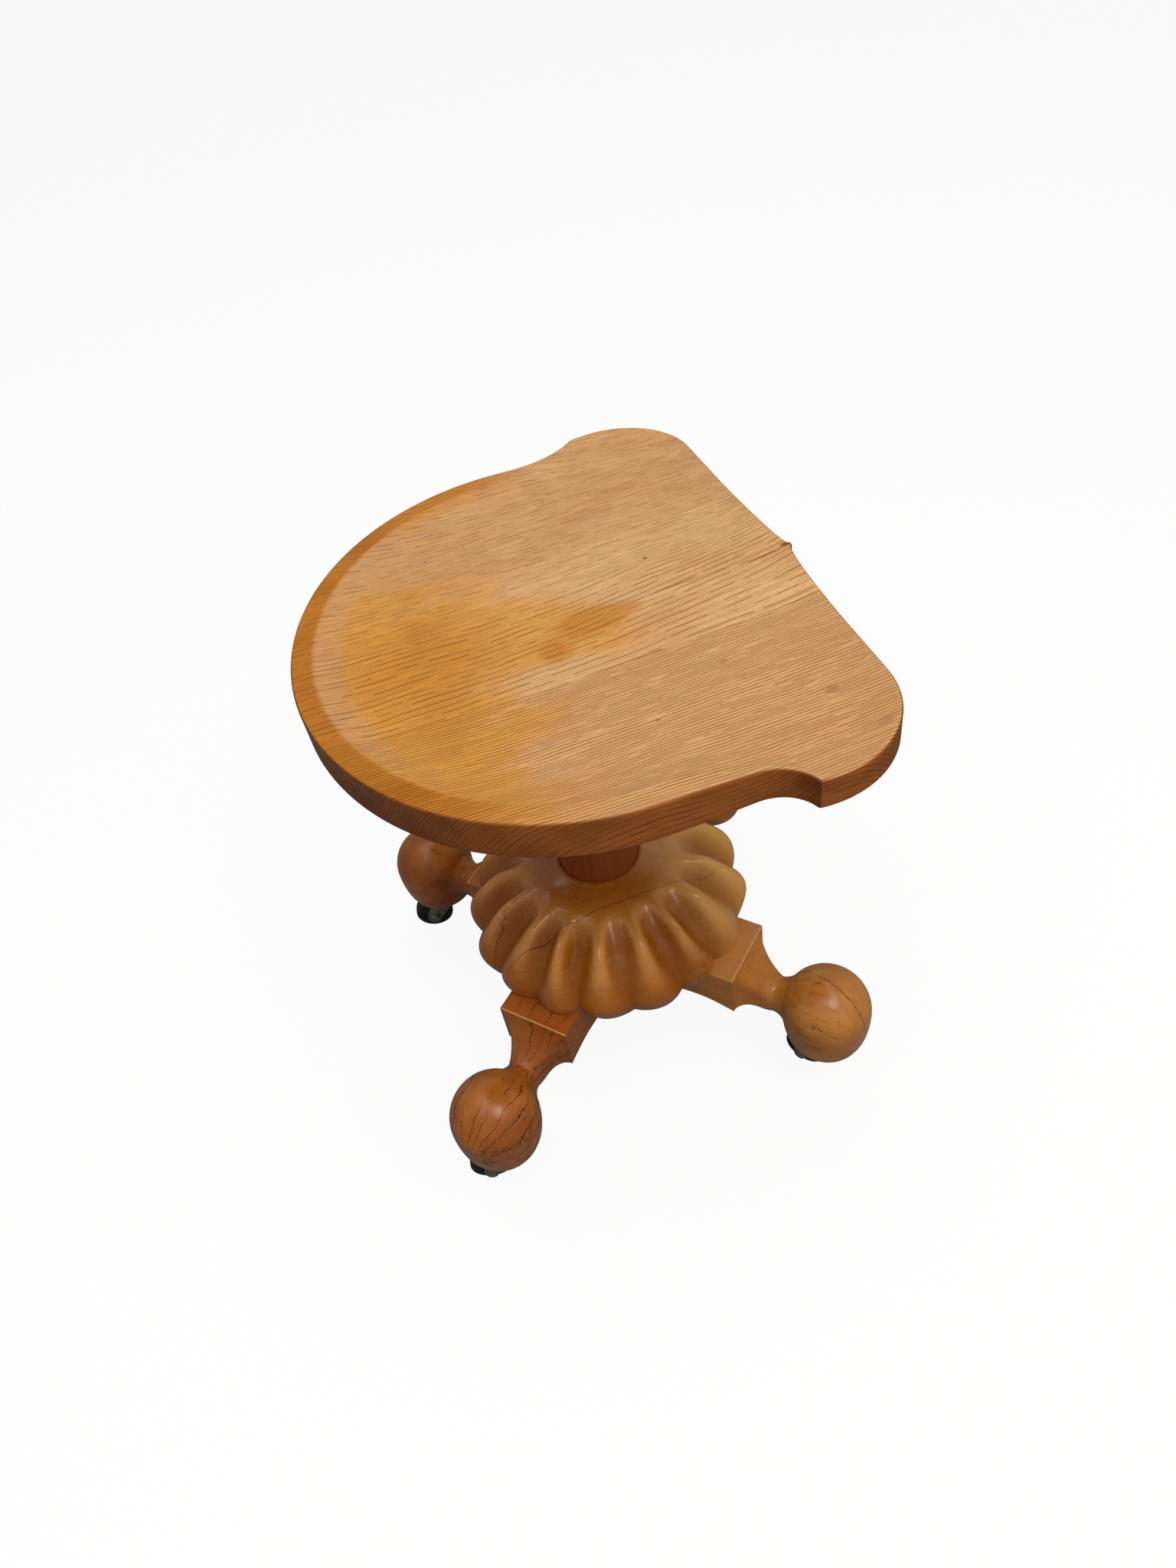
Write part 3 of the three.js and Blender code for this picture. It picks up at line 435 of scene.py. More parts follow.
def carved_wood():
    """Varnished hardwood of the dome: cloudy golden brown with fine ripples across the lobes,
    a few dark flecks, two knots, a crack that crosses it, and grooves with less varnish that are
    darkened with painted shade. Painted light lies on the upper ribs, painted shade on the lower
    lobes and a painted sheen on a paler side towards the front left leg. The dome's own
    attributes say how deep in a groove a point lies (valley) and how dark its lobe is (tint)."""
    f = Finish("dome_wood", Specular_IOR_Level=0.2, Coat_Roughness=0.14)
    x, y, z = f.x, f.y, f.z
    cloud = f.noise((0.018, 0.012, 0.03), detail=4, roughness=0.6)
    grain = f.noise((0.16, 0.03, 0.22), detail=4, roughness=0.62, warp=0.6, shift=2)
    ripple = f.noise((0.10, 0.10, 0.85), detail=3, roughness=0.6, warp=0.8, shift=5)
    valley, tint = f.attribute("valley", "Fac"), f.attribute("tint", "Fac")
    f.colour = f.mixed(f.step(0.3, 0.7, cloud + tint * 0.1), tone(196, 118, 28), tone(172, 94, 18))
    f.over(f.step(0.42, 0.75, grain) * 0.5, tone(138, 76, 22))
    f.over(f.step(0.48, 0.72, ripple) * 0.3, tone(206, 142, 58))
    f.over(f.step(0.52, 0.28, ripple) * 0.22, tone(126, 68, 20))
    # painted shade: the grooves darken towards their bottoms
    f.over(f.step(0.05, 0.95, valley) * 0.6, tone(122, 64, 12))
    f.over(f.step(184, 200, z) * 0.5, tone(142, 68, 14))
    # a long crack across the top and a short one down the rear side
    wobble = (grain - 0.5) * 2.4
    crack = f.step(0.5, 0.12, abs(x + 54 - f.least(y, 0.0) ** 2 * 0.0014 + wobble))
    crack = crack * f.step(148, 168, z)
    short = f.step(0.5, 0.12, abs(x + 20 + (170 - z) * 0.5 + wobble * 2))
    short = short * f.step(70, 96, y) * f.step(140, 150, z)
    f.over(f.most(crack, short) * 0.85, tone(70, 34, 12))
    for knot in ((-101.9, -57.1, 156.3), (-113.1, -40.0, 139.4)):
        away = f.add("VectorMath", (f.spot, knot), "Value", operation="DISTANCE")
        f.over(f.step(3.2, 1.2, away + (ripple - 0.5) * 4), tone(58, 22, 10))
    fleck = f.step(0.70, 0.76, f.noise((0.5, 0.16, 0.5), detail=1, shift=11))
    f.over(fleck * 0.4, tone(98, 50, 16))
    # painted light on the crests of the upper ribs, where light from high up falls
    painted_crest_light = f.step(150, 178, z) * f.step(198, 186, z) * f.step(0.5, 0.1, valley)
    f.over(painted_crest_light * 0.4, tone(230, 164, 84))
    # painted shade: the lower lobes darker
    f.over(f.step(176, 140, z) * 0.6, tone(146, 78, 14))
    # painted sheen: one side of the dome paled, less so in the grooves
    pale = f.step(-20, 60, x * 0.5 - y * 0.87) * (1 - valley * 0.7)
    f.over(pale * 0.7, tone(240, 182, 98))
    lumps = f.noise((0.09, 0.09, 0.07), shift=8)
    height = grain * 0.5 + ripple * 0.4 - crack * 2 + lumps * 9
    return f.done(0.3 + ripple * 0.12, height, 0.14, 0.85 - valley * 0.85)


def leg_wood(name, spalt, seed, light, deep, top, crack=False):
    """Varnished hardwood of one leg, with grain along it and thin black lines that wander
    along it: the angle about the leg, bent by soft noise, marked where it passes even
    steps. Spalt, 0 to 1, says how many of them there are, and top is a tone of painted light
    for the block's upper face. A painted highlight runs along the block's outer top edge. One
    leg has a long crack over its ball. The attribute grain holds the leg's own place along X,
    before it is turned."""
    f = Finish(name, Specular_IOR_Level=0.24, Coat_Roughness=0.16)
    f.go_by(f.attribute("grain", "Vector"))
    x, y, z = f.x, f.y, f.z
    cloud = f.noise((0.02, 0.03, 0.03), detail=4, roughness=0.6, shift=seed)
    grain = f.noise((0.03, 0.28, 0.28), detail=4, roughness=0.65, warp=0.5, shift=seed)
    pore = f.noise((0.25, 2.2, 2.2), roughness=0.6, shift=seed)
    f.colour = f.mixed(f.step(0.3, 0.7, cloud), light, deep)
    f.over(f.step(0.45, 0.75, grain) * 0.42, tone(128, 68, 20))
    f.over(f.step(0.55, 0.75, pore) * 0.22, tone(104, 54, 18))
    jagged = f.noise((0.25, 0.3, 0.3), detail=3, roughness=0.7, shift=seed)
    drift = f.noise((0.022, 0.03, 0.03), detail=1, shift=seed + 5)
    turn = f.add("Math", (y, f.most(z - 84, 2.0)), operation="ARCTAN2")
    lines = f.fraction(turn * 3.4 + drift * 2.6 + jagged * 0.7)
    lines = f.step(0.05, 0.02, abs(lines - 0.5))
    zone = f.noise((0.02, 0.028, 0.028), detail=1, shift=seed + 21)
    zone = f.step(0.60 - 0.21 * spalt, 0.64 - 0.21 * spalt, zone + (jagged - 0.5) * 0.2)
    curl = f.noise((0.09, 0.09, 0.3), detail=3, roughness=0.65, warp=0.8, shift=seed + 9)
    belt = f.step(112, 100, z) * f.noise((0.06, 0.06, 0.12), shift=seed + 15)
    low = f.step(0.04, 0.015, abs(curl - 0.5)) * f.step(0.42, 0.5, belt) * 0.7
    fleck = f.noise((0.12, 0.7, 0.7), detail=1, shift=seed + 13)
    marks = f.most(lines * zone * (0.4 + 0.6 * spalt), low * spalt)
    marks = f.most(marks, f.step(0.68, 0.74, fleck) * 0.4 * spalt)
    on_block = 0.25 + 0.35 * spalt
    marks = marks * (on_block + (1 - on_block) * f.step(132, 136, x))
    if crack:
        bend = y - 7 + f.most(x - 186, 0.0) * 0.28 + (jagged - 0.5) * 3
        over_ball = f.step(166, 172, x) * f.step(84, 92, z)
        marks = f.most(marks, f.step(0.5, 0.2, abs(bend)) * over_ball * 0.8)
    f.over(f.step(170, 140, x) * 0.7 * spalt, deep)
    # painted light: the block's upper face takes its own tone, for the light that falls on it
    f.over(f.step(127.9, 128.6, z) * f.step(134.6, 134, x) * 0.45, top)
    f.over(marks * 0.95, tone(36, 12, 6))
    # painted highlight along the block's outer top edge
    painted_edge_highlight = f.step(1.0, 0.3, abs(x - 134.0)) * f.step(127.4, 128.2, z)
    f.over(painted_edge_highlight * 0.85, tone(232, 172, 104))
    height = grain * 0.5 + pore * 0.3 - marks * 0.4
    return f.done(0.3 + cloud * 0.14, height, 0.1, 0.4)


def pillar_wood():
    """Reddish varnished post with straight grain along it."""
    f = Finish("pillar_wood", Specular_IOR_Level=0.16, Coat_Roughness=0.15)
    grain = f.noise((0.5, 0.5, 0.012), detail=4, roughness=0.6, warp=0.3)
    fine = f.noise((1.2, 1.2, 0.03), detail=3, shift=3)
    f.colour = f.mixed(f.step(0.35, 0.7, grain), tone(146, 72, 28), tone(134, 62, 22))
    f.over(f.step(0.5, 0.8, fine) * 0.2, tone(122, 54, 16))
    return f.done(0.36 + fine * 0.15, grain * 0.4 + fine * 0.4, 0.08, 0.08)


def metal(name, colour, metallic, low, high, scale, depth=0.03, dirt=0.0):
    """Metal with a cloudy sheen, fine marks and dull dirt. Its roughness goes from low to
    high with the marks."""
    f = Finish(name, Metallic=metallic)
    marks = f.noise(f.spot, scale, detail=4, roughness=0.65)
    cloud = f.noise(f.spot, 0.08, detail=3, shift=6)
    f.colour = f.mixed(f.step(0.35, 0.7, cloud) * 0.6, colour, darker(colour, 0.62))
    f.over(f.step(0.5, 0.75, marks) * (0.25 + dirt), darker(colour, 0.35))
    return f.done(low + marks * (high - low), marks, depth)


def dull(name, colour, second, roughness, scale, depth):
    """Rubber, plastic or leather: two close tones in small clouds, a fine rough skin."""
    f = Finish(name, Specular_IOR_Level=0.4)
    cloud = f.noise(f.spot, scale * 0.15, detail=3)
    skin = f.noise(f.spot, scale, detail=3, roughness=0.6, shift=4)
    f.colour = f.mixed(f.step(0.4, 0.7, cloud), colour, second)
    f.over(f.step(0.5, 0.8, skin) * 0.3, darker(colour, 0.6))
    return f.done(roughness + skin * 0.15, skin, depth)


OAK = oak()
DOME_WOOD = carved_wood()
PILLAR_WOOD = pillar_wood()
LEG_WOODS = (
    leg_wood("leg_wood_front_right", 0.5, 31,
             tone(196, 122, 44), tone(164, 90, 30), tone(196, 122, 66)),
    leg_wood("leg_wood_rear_right", 0.35, 17,
             tone(190, 110, 34), tone(146, 72, 18), tone(186, 108, 50)),
    leg_wood("leg_wood_rear_left", 1.0, 3,
             tone(186, 110, 35), tone(152, 80, 24), tone(180, 90, 32)),
    leg_wood("leg_wood_front_left", 0.22, 23,
             tone(200, 134, 60), tone(176, 106, 42), tone(212, 146, 90), crack=True),
)
SCREW_STEEL = metal("lead_screw_steel", tone(168, 168, 170), 1.0, 0.25, 0.5, 0.8, dirt=0.2)
IRON = metal("spider_iron", tone(52, 50, 48), 0.6, 0.5, 0.75, 0.9, 0.12)
BRASS = metal("nut_brass", tone(190, 152, 88), 1.0, 0.28, 0.5, 0.5)
PLATE_PAINT = metal("plate_steel", tone(44, 44, 45), 0.0, 0.4, 0.6, 0.7, 0.05)
BOLT_STEEL = metal("fastener_steel", tone(170, 168, 162), 1.0, 0.3, 0.55, 1.4)
ZINC = metal("caster_zinc", tone(158, 155, 150), 1.0, 0.34, 0.58, 0.9, dirt=0.2)
LEATHER = dull("buffer_leather", tone(128, 84, 50), tone(98, 60, 34), 0.62, 1.2, 0.15)
PLASTIC = dull("hub_plastic", tone(40, 40, 41), tone(30, 30, 31), 0.42, 2.0, 0.03)
RUBBER = dull("tyre_rubber", tone(30, 30, 29), tone(44, 43, 40), 0.62, 1.5, 0.06)


# Seat

# The seat's faces, how far its front lobes reach from the axis, and the front edge's fall
SEAT_TOP, SEAT_UNDER, SEAT_FRONT, FRONT_FALL = 454.0, 425.0, 169.0, 3.0
# Length over which the front edge's fall fades out towards the axis
FRONT_FADE = 99.0
# Widths of the level rim and of the slope inside it, and the slope's fall
RIM_BAND, RIM_SLOPE, RIM_FALL = 15.0, 32.0, 7.5


def seat_half(side, waist, reach, radius, start, cove_length, cove_sweep, tip):
    """Right or left half of the seat's outline, from the back to the front: a quarter of an
    ellipse, a cove that is part of another, a round lobe from a sharp corner, and a curve to
    the peak."""
    a = np.linspace(QUARTER, 0, 170)
    back = np.stack([waist * np.cos(a), 186.5 * np.sin(a) - 4], -1)
    lobe = np.array([reach - radius, radius - SEAT_FRONT])
    corner = lobe + radius * np.array([np.cos(start), -np.sin(start)])
    a = np.linspace(0, cove_sweep, 44)
    across = (corner[0] - waist) * (1 - np.cos(a)) / (1 - np.cos(cove_sweep))
    behind = cove_length * (1 - np.sin(a) / np.sin(cove_sweep))
    cove = np.stack([waist + across, corner[1] + behind], -1)
    run = np.linspace(back[-1], cove[0], 18)[1:-1]
    a = np.linspace(start, QUARTER, 110)[1:]
    arc = lobe + radius * np.stack([np.cos(a), -np.sin(a)], -1)
    t = np.linspace(0, 1, 60)[:, None]
    first, last = np.array([100.0, -SEAT_FRONT]), np.array([tip, -176.0])
    bend = np.array([tip + 3, -169.2])
    nose = (1 - t) ** 2 * first + 2 * t * (1 - t) * bend + t ** 2 * last
    return np.vstack([back, run, cove, arc, nose]) * [side, 1]


def seat():
    """Saddle seat. Rings of the outline are drawn in towards the middle. The top's height is
    a level rim that fades out towards the front, a slope inside it, a shallow dish and a low
    ridge behind the peak. The underside rises a little towards the front edge."""
    right = seat_half(1, 202, 228.5, 65, -0.28, 62, 1.0, -8)
    left = seat_half(-1, 200, 221.5, 70, -0.15, 30, 1.3, 8)
    edge = np.vstack([right[:-1], left[::-1][:-1]])
    ahead = np.roll(edge, -1, 0) - np.roll(edge, 1, 0)
    out = np.stack([-ahead[:, 1], ahead[:, 0]], -1)
    out = out / np.hypot(*out.T)[:, None]
    out *= np.sign((out * edge).sum(1)).mean().round()

    def height(points, inset):
        x, y = points[..., 0], points[..., 1]
        rear = smooth(-FRONT_FADE, 0, y)
        fall = np.clip((inset - RIM_BAND * rear) / RIM_SLOPE, 0, 1)
        fall = smooth(0, 0.08, fall) * (1 - (1 - fall) ** 2)
        drop = FRONT_FALL * (1 - rear)
        width = 1 - np.abs(x) / 200
        ridge = 4 * smooth(0, 1, width) ** 2 * smooth(0, SEAT_FRONT, -y)
        spread = np.hypot(x / 400, y / 350) * 2
        sag = 3.5 * smooth(0, 1, 1 - spread)
        return SEAT_TOP - drop - (RIM_FALL - drop) * fall - sag + ridge

    rings, insets = [], []

    def ring(points, z, inset=0.0):
        rings.append(np.column_stack([points, z]))
        insets.append(np.broadcast_to(inset, len(edge)))

    # from the middle of the underside out, up the side and in over the top
    ease, low_ease = 2.2, 1.2
    base = edge - out * ease
    low = SEAT_UNDER + FRONT_FALL * smooth(0, FRONT_FADE, -edge[:, 1])
    for share in (0.0, 0.3, 0.6, 0.8, 0.9, 0.97, 0.995):
        ring(edge * share, SEAT_UNDER + (low - SEAT_UNDER) * smooth(0.8, 1, share))
    for a in np.linspace(0, QUARTER, 4):
        ring(edge - out * low_ease * (1 - np.sin(a)), low + low_ease * (1 - np.cos(a)))
    side_top = height(base, np.full(len(edge), ease)) - ease
    for share in (0.25, 0.5, 0.75):
        ring(edge, low + low_ease + (side_top - low - low_ease) * share)
    for a in np.linspace(0, QUARTER, 7):
        ring(edge - out * ease * (1 - np.cos(a)), side_top + ease * np.sin(a),
             ease * (1 - np.cos(a)))
    reach = np.maximum((base * out).sum(1), 0.6 * np.hypot(*base.T))
    for step in np.concatenate([np.linspace(0, 0.32, 46)[1:], np.linspace(0.32, 1, 34)[1:]]):
        points, inset = base * (1 - step), ease + step * reach
        ring(points, height(points, inset), inset)
    grid, inset = np.stack(rings), np.stack(insets)
    rear = smooth(-10, 90, grid[..., 1] + 0.25 * grid[..., 0])
    end = np.broadcast_to(out[:, 1] ** 2, inset.shape)
    rim = smooth(RIM_BAND + 2.2, RIM_BAND - 0.8, inset) * rear * (grid[..., 2] > 440)
    piece("saddle_seat", "seat", OAK, [shell(grid)], ("seat",), 50,
          rim=rim.ravel(), inset=inset.ravel(), end=end.ravel())


# Dome

# Directions of the sixteen grooves from the rear left leg, and the first one once more
VALLEYS = np.radians([-47, -23, -3, 17, 39, 61, 80, 103, 130, 154, 177, 199, 222, 245, 268,
                      290, 313])
LOBES = 16
DOME_SIDES = 640
SHARP_CARVING = 50


def dome():
    """Carved dome. A turned outline that is pressed in along its normal by the grooves. At
    share t of the way from one groove to the next, the groove is 1 - sin(pi t)^(2 p) deep,
    where the power p makes narrow ribs on the shoulder and full lobes below. Each rib
    begins with a low swelling, its head. A row of the outline has the radius, the height,
    the share of the grooves' depth, the power and the head's height."""
    outline = flowing([
        [84, 90, 0.2, 0.5, 0], [95.7, 99.5, 0.32, 0.42, 0], [109.3, 113.5, 0.5, 0.4, 0],
        [119.2, 127, 0.7, 0.42, 0], [123.5, 141.5, 0.88, 0.5, 0], [119.2, 156.5, 1.02, 0.72, 0],
        [108.5, 170.5, 1.06, 1.2, 0.3], [91.5, 184, 1.0, 1.7, 1.6], [76, 189.8, 0.55, 1.9, 0.5],
        [62, 193.6, 0.06, 1.7, 0], [48, 197.3, 0, 1.5, 0], [38.5, 201, 0, 1.5, 0]], 9)
    a = angles(DOME_SIDES)
    r, z, flute, power, head = outline.T[:, :, None]
    rise = np.gradient(outline[:, :2], axis=0)
    out_r, out_z = (rise[:, 1], -rise[:, 0]) / np.hypot(*rise.T)
    wander = 0.05 * np.sin(0.045 * z + 2.3 * np.sin(3 * a) + 4 * a)
    local = np.mod(a - LEG_ANGLES[2] - VALLEYS[0], TAU) + VALLEYS[0]
    share = np.interp(local, VALLEYS, np.arange(LOBES + 1.0)) + wander
    lobe = np.mod(np.floor(share), LOBES)
    depth = 9.8 * (1 + 0.14 * np.sin(share * 2.4 + 1))
    swell = np.abs(np.sin(np.pi * share)) ** (2 * power)
    uneven = 1 + np.sin(5 * a + 0.08 * z) * np.sin(0.11 * z - 3 * a)
    press = flute * depth * (1 - swell) + 0.5 * flute * uneven
    press = press - head * swell * (1 + 0.5 * np.sin(lobe * 3.7))
    grid = around(r - press * out_r[:, None], a, z - press * out_z[:, None])
    valley = np.clip(flute, 0, 1) * (1 - swell)
    tint = np.sin(lobe * 5.1 + 2) * flute * np.abs(np.sin(np.pi * share)) ** 0.5
    bore = eased([[38, 201.5], [34.2, 201.5], [34.2, 90], [60, 90], [70, 90]], [0, 0.8, 1, 0, 0])
    inner = turned(bore, DOME_SIDES)
    bare = np.zeros(inner.shape[:2])
    made = piece("carved_dome", "pedestal", DOME_WOOD,
                 [shell(np.concatenate([grid, inner]), True)], ("dome",), SHARP_CARVING,
                 valley=np.concatenate([valley, bare]).ravel(),
                 tint=np.concatenate([tint, bare]).ravel())
    # two boxes through the middle make room for the legs' blocks
    carve(made, [box_cutter(LEG_ANGLES[i], 128, 32.3, 80, 129.3) for i in (0, 1)])


def box_cutter(turn, reach, half, low, high):
    """Box across the middle, turned about Z, as a mesh for cutting."""
    corners = np.array([[x, y, z] for z in (low, high) for x, y in
                        ((-reach, -half), (reach, -half), (reach, half), (-reach, half))], float)
    points, _ = moved((corners, None), turn=turn)
    mesh = bpy.data.meshes.new("cutter")
    mesh.from_pydata(points * MM, [], [(3, 2, 1, 0), (4, 5, 6, 7), (0, 1, 5, 4), (1, 2, 6, 5),
                                       (2, 3, 7, 6), (3, 0, 4, 7)])
    return placed("cutter", mesh)


def carve(made, cutters):
    """Cuts the cutters out of a piece for good and removes them."""
    for cutter in cutters:
        cut = made.modifiers.new("channel", "BOOLEAN")
        cut.operation, cut.solver, cut.object = "DIFFERENCE", "MANIFOLD", cutter
    bpy.context.view_layer.update()
    result = made.evaluated_get(bpy.context.evaluated_depsgraph_get())
    mesh = bpy.data.meshes.new_from_object(result)
    made.modifiers.clear()
    made.data = mesh
    mesh.shade_smooth()
    mesh.set_sharp_from_angle(angle=np.radians(SHARP_CARVING))
    for cutter in cutters:
        bpy.data.objects.remove(cutter)


# Legs

# The block's upper face, its underside at both ends of the arch, half its width and its end,
# and the neck's length up to its narrowest place
LEG_TOP, LEG_UNDER, LEG_HALF, BLOCK_END, NECK = 129.0, 86.0, 32.0, 134.2, 27.0


def leg_body():
    """Block and neck in one: sections across the leg's axis. A section is r(a) times its half
    width and half depth, r(a) = (|cos a|^n + |sin a|^n)^(-1/n), where n is 60 for the square
    block and 2 for the round end of the neck. In between, the reach of a section's corner,
    2^(1/2 - 1/n), shrinks from 1.405 to 1, and n follows from it. Columns crowd towards the
    four corners. Past the block's end the width and the top fall by (1 - (1 - t)^p)^(1/p) of
    their whole change. The last rows flare out into the ball."""
    block = np.linspace(34.3, BLOCK_END, 26)
    arch = np.clip((block - 74) / (BLOCK_END - 74), 0, 1)
    under = LEG_UNDER + 15.68 * arch * (1 - arch) - 1.8 * smooth(105, BLOCK_END, block)
    rows = np.column_stack(np.broadcast_arrays(block, LEG_HALF, LEG_TOP, under, 60))
    t = np.linspace(0, 1, 30)[1:] ** 1.5
    narrow = (1 - (1 - t) ** 2) ** (1 / 2)
    fall = (1 - (1 - t) ** 1.5) ** (1 / 1.5)
    under = LEG_UNDER - 1.8 + 3 * smooth(0, 0.6, t) - 17.7 * smooth(0, 1, t)
    power = 1 / (0.5 - np.log2(1.405 - 0.405 * t ** 1.6))
    neck = np.column_stack([BLOCK_END + NECK * t, LEG_HALF - 16.5 * narrow,
                            LEG_TOP - 28.5 * fall, under, power])
    t = np.linspace(0, 1, 12)[1:]
    flare, lift = 7.5 * t ** 2, 3.5 * t
    mouth = np.column_stack([BLOCK_END + NECK + 14.5 * t, 15.5 + flare, 100.5 + lift + flare,
                             69.5 + lift - flare, 0 * t + 2])
    rows = np.vstack([rows, neck, mouth])
    ends = rows[[0, -1]].copy()
    ends[:, 1] = 0
    ends[:, 2] = ends[:, 3] = ends[:, 2:4].mean(1)
    rows = np.vstack([ends[:1], rows, ends[1:]])
    a = angles(128)
    a = a + 0.2 * np.sin(4 * a)
    x, half_width, top, under, power = rows.T[:, :, None]
    c, s = np.cos(a), np.sin(a)
    r = (np.abs(c) ** power + np.abs(s) ** power) ** (-1 / power)
    height = (top + under) / 2 + (top - under) / 2 * r * s
    return shell(np.stack([x + 0 * a, half_width * r * c, height], -1))


def bell_foot():
    """Bell foot: a half ball on a lower half whose radius grows with the root of a sine."""
    t = np.linspace(0, 1, 20)
    corner = eased([[0, 52.4], [30.2, 52.4], [32.4, 58]], [0, 5.5, 0], steps=7)
    lower = np.column_stack([30.6 + 6.6 * np.sin(QUARTER * t) ** 0.5, 57 + 34 * t])[2:]
    upper = np.column_stack([37.2 * np.cos(QUARTER * t), 91 + 37.2 * np.sin(QUARTER * t)])[1:]
    return moved(shell(turned(np.vstack([corner[:-1], lower, upper]), 112)), (FOOT_REACH, 0, 0))


def legs():
    body, foot = leg_body(), bell_foot()
    for name, angle, finish in zip(LEGS, LEG_ANGLES, LEG_WOODS):
        grain = np.concatenate([body[0], foot[0]])
        piece(f"carved_leg_{name}", "pedestal", finish,
              [moved(body, turn=angle), moved(foot, turn=angle)], (f"leg_{name}",), 16,
              slot="leg_wood", grain=grain)


# Pillar, screw and the pieces that join them

# Heights of the nut's top, of the underside of the iron plate's arms and of the round plate
NUT_TOP, ARMS_UNDER, PLATE_UNDER, PLATE_TOP = 398.1, 418.7, 81.7, 85.7


def threaded(radius, depth, pitch, low, high, plain_low, plain_high):
    """Right-hand screw: the radius falls by the depth where the phase z / pitch - a / 2 pi
    lies in the groove, and the groove runs out before the plain ends."""
    z = np.arange(low, high, pitch / 14)[:, None]
    a = angles(64)
    phase = np.mod(z / pitch - a / TAU, 1)
    groove = smooth(0.12, 0.38, phase) * smooth(0.88, 0.62, phase)
    fade = smooth(plain_low, plain_low + pitch, z) * smooth(plain_high, plain_high - pitch, z)
    r = radius - depth * groove * fade
    r[[0, -1]] = radius - 0.8
    grid = around(r, a, z)
    return shell(np.concatenate([grid[:1] * [0, 0, 1], grid, grid[-1:] * [0, 0, 1]]))


def post():
    """Pillar, the nut let into its top, the leather washer, and the screw with its collar and
    the two cross pins."""
    section = [[20.3, 86], [34, 86], [34, 392.8], [23.3, 392.8], [23.3, 347.8], [20.3, 347.8]]
    piece("turned_pillar", "pedestal", PILLAR_WOOD,
          [lathed(section, [1, 1, 2, 1, 1, 1], 144)], ("pillar",))
    section = [[SCREW_BORE, 348.1], [23, 348.1], [23, 393.1], [32.5, 393.1], [32.5, NUT_TOP],
               [SCREW_BORE, NUT_TOP]]
    piece("screw_nut_brass", "pedestal", BRASS,
          [lathed(section, [0.8, 1.5, 0.4, 0.8, 1.2, 1], 96)], ("screw_nut",))
    piece("leather_buffer", "buffer", LEATHER,
          [sleeve(SCREW_BORE, 28, 398.4, 402.4, 1.3)], ("buffer_washer",))
    piece("threaded_screw", "seat", SCREW_STEEL,
          [threaded(12.5, 2.6, 6, 239.8, 424.4, 266, 402)], ("lead_screw",), 60)
    piece("screw_stop_collar", "seat", SCREW_STEEL,
          [sleeve(SCREW_BORE, 18, 251.8, 263.8, 1.2)], ("stop_collar",))
    for name, node, half, height in (("boss_pin", "lead_screw_pin", 23, 410.7),
                                     ("collar_pin", "stop_collar_pin", 18, 257.8)):
        piece(name, "seat", BOLT_STEEL,
              [laid(rod(2.5, -half, half, 0.8, 32), (0, 0, height))], (node,))


def spider():
    """Four-armed iron plate. In plan each arm is a round-ended bar, reached at
    r(a) = d cos a + sqrt(h^2 - d^2 sin^2 a) or h / |sin a|, and the hub is a circle, joined
    softly to the arms by an eighth-power mean. The edge is eased, and a boss stands down
    from the hub."""
    half, far, hub, boss = 15.0, 67.0, 40.0, 23.0
    top, lower_edge, boss_edge, boss_end = 424.7, 420.7, 404.2, 402.7
    a = angles(480)
    b = np.mod(a + QUARTER / 2, QUARTER) - QUARTER / 2
    side = half / np.maximum(np.abs(np.sin(b)), 1e-6)
    inside = np.maximum(half ** 2 - (far * np.sin(b)) ** 2, 0)
    arm = np.where(far * np.abs(np.sin(b)) < half, far * np.cos(b) + np.sqrt(inside), side)
    arm = np.minimum(arm, np.where(np.abs(far * np.tan(b)) > half, side, arm))
    arm = np.maximum(arm, hub)
    reach = (arm ** 8 + hub ** 8) ** (1 / 8)
    reach = np.minimum(np.minimum(reach, arm + 1.5), far + half)
    turn = np.linspace(0, QUARTER, 5)
    falls, rises = 1 - np.sin(turn), 1 - np.cos(turn)
    rings = [(SCREW_BORE, top), (hub * 0.8, top)]
    rings += [(reach - 1.2 * fall, top - 1.2 * rise) for fall, rise in zip(falls, rises)]
    rings += [(reach - 2.0 * (1 - np.cos(t)), lower_edge - 2.0 * np.sin(t)) for t in turn]
    rings += [(np.minimum(reach - 6, hub), ARMS_UNDER), (boss + 4, ARMS_UNDER)]
    rings += [(boss + 3 * fall, ARMS_UNDER - 3 * rise) for fall, rise in zip(falls, rises)]
    rings += [(boss - 1.5 * (1 - np.cos(t)), boss_edge - 1.5 * np.sin(t)) for t in turn]
    rings += [(SCREW_BORE, boss_end)]
    grid = np.stack([around(r, a, z) for r, z in rings])
    piece("spider_iron_plate", "seat", IRON, [shell(grid, True)], ("spider_plate",), 45)


def wood_screw(length, head, way):
    """Countersunk wood screw: a flat head with a sunk slot, drawn as a height over polar
    rings, on a threaded taper."""
    a = angles(64)
    sunk, pitch = 1.1, 1.6
    r = np.concatenate([np.linspace(0.3, 3.3, 14), [3.5, 3.6]])[:, None]
    slot = smooth(0.55, 0.35, np.abs(r * np.sin(a))) * smooth(3.7, 3.3, r)
    top = around(r, a, sunk * slot + 0.1 * (r > 3.4))
    z = np.arange(2.2, length - 2, 0.22)[:, None]
    phase = np.mod(z / pitch - a / TAU, 1)
    r = 2.0 - 0.55 * smooth(0.1, 0.45, phase) * smooth(0.9, 0.55, phase)
    middle, point = around(0 * a, a, sunk), around(0 * a, a, length)
    points, faces = shell(np.concatenate([middle[None], top, around(r, a, z), point[None]]))
    return points * [1, way, way] + [0, 0, head], faces


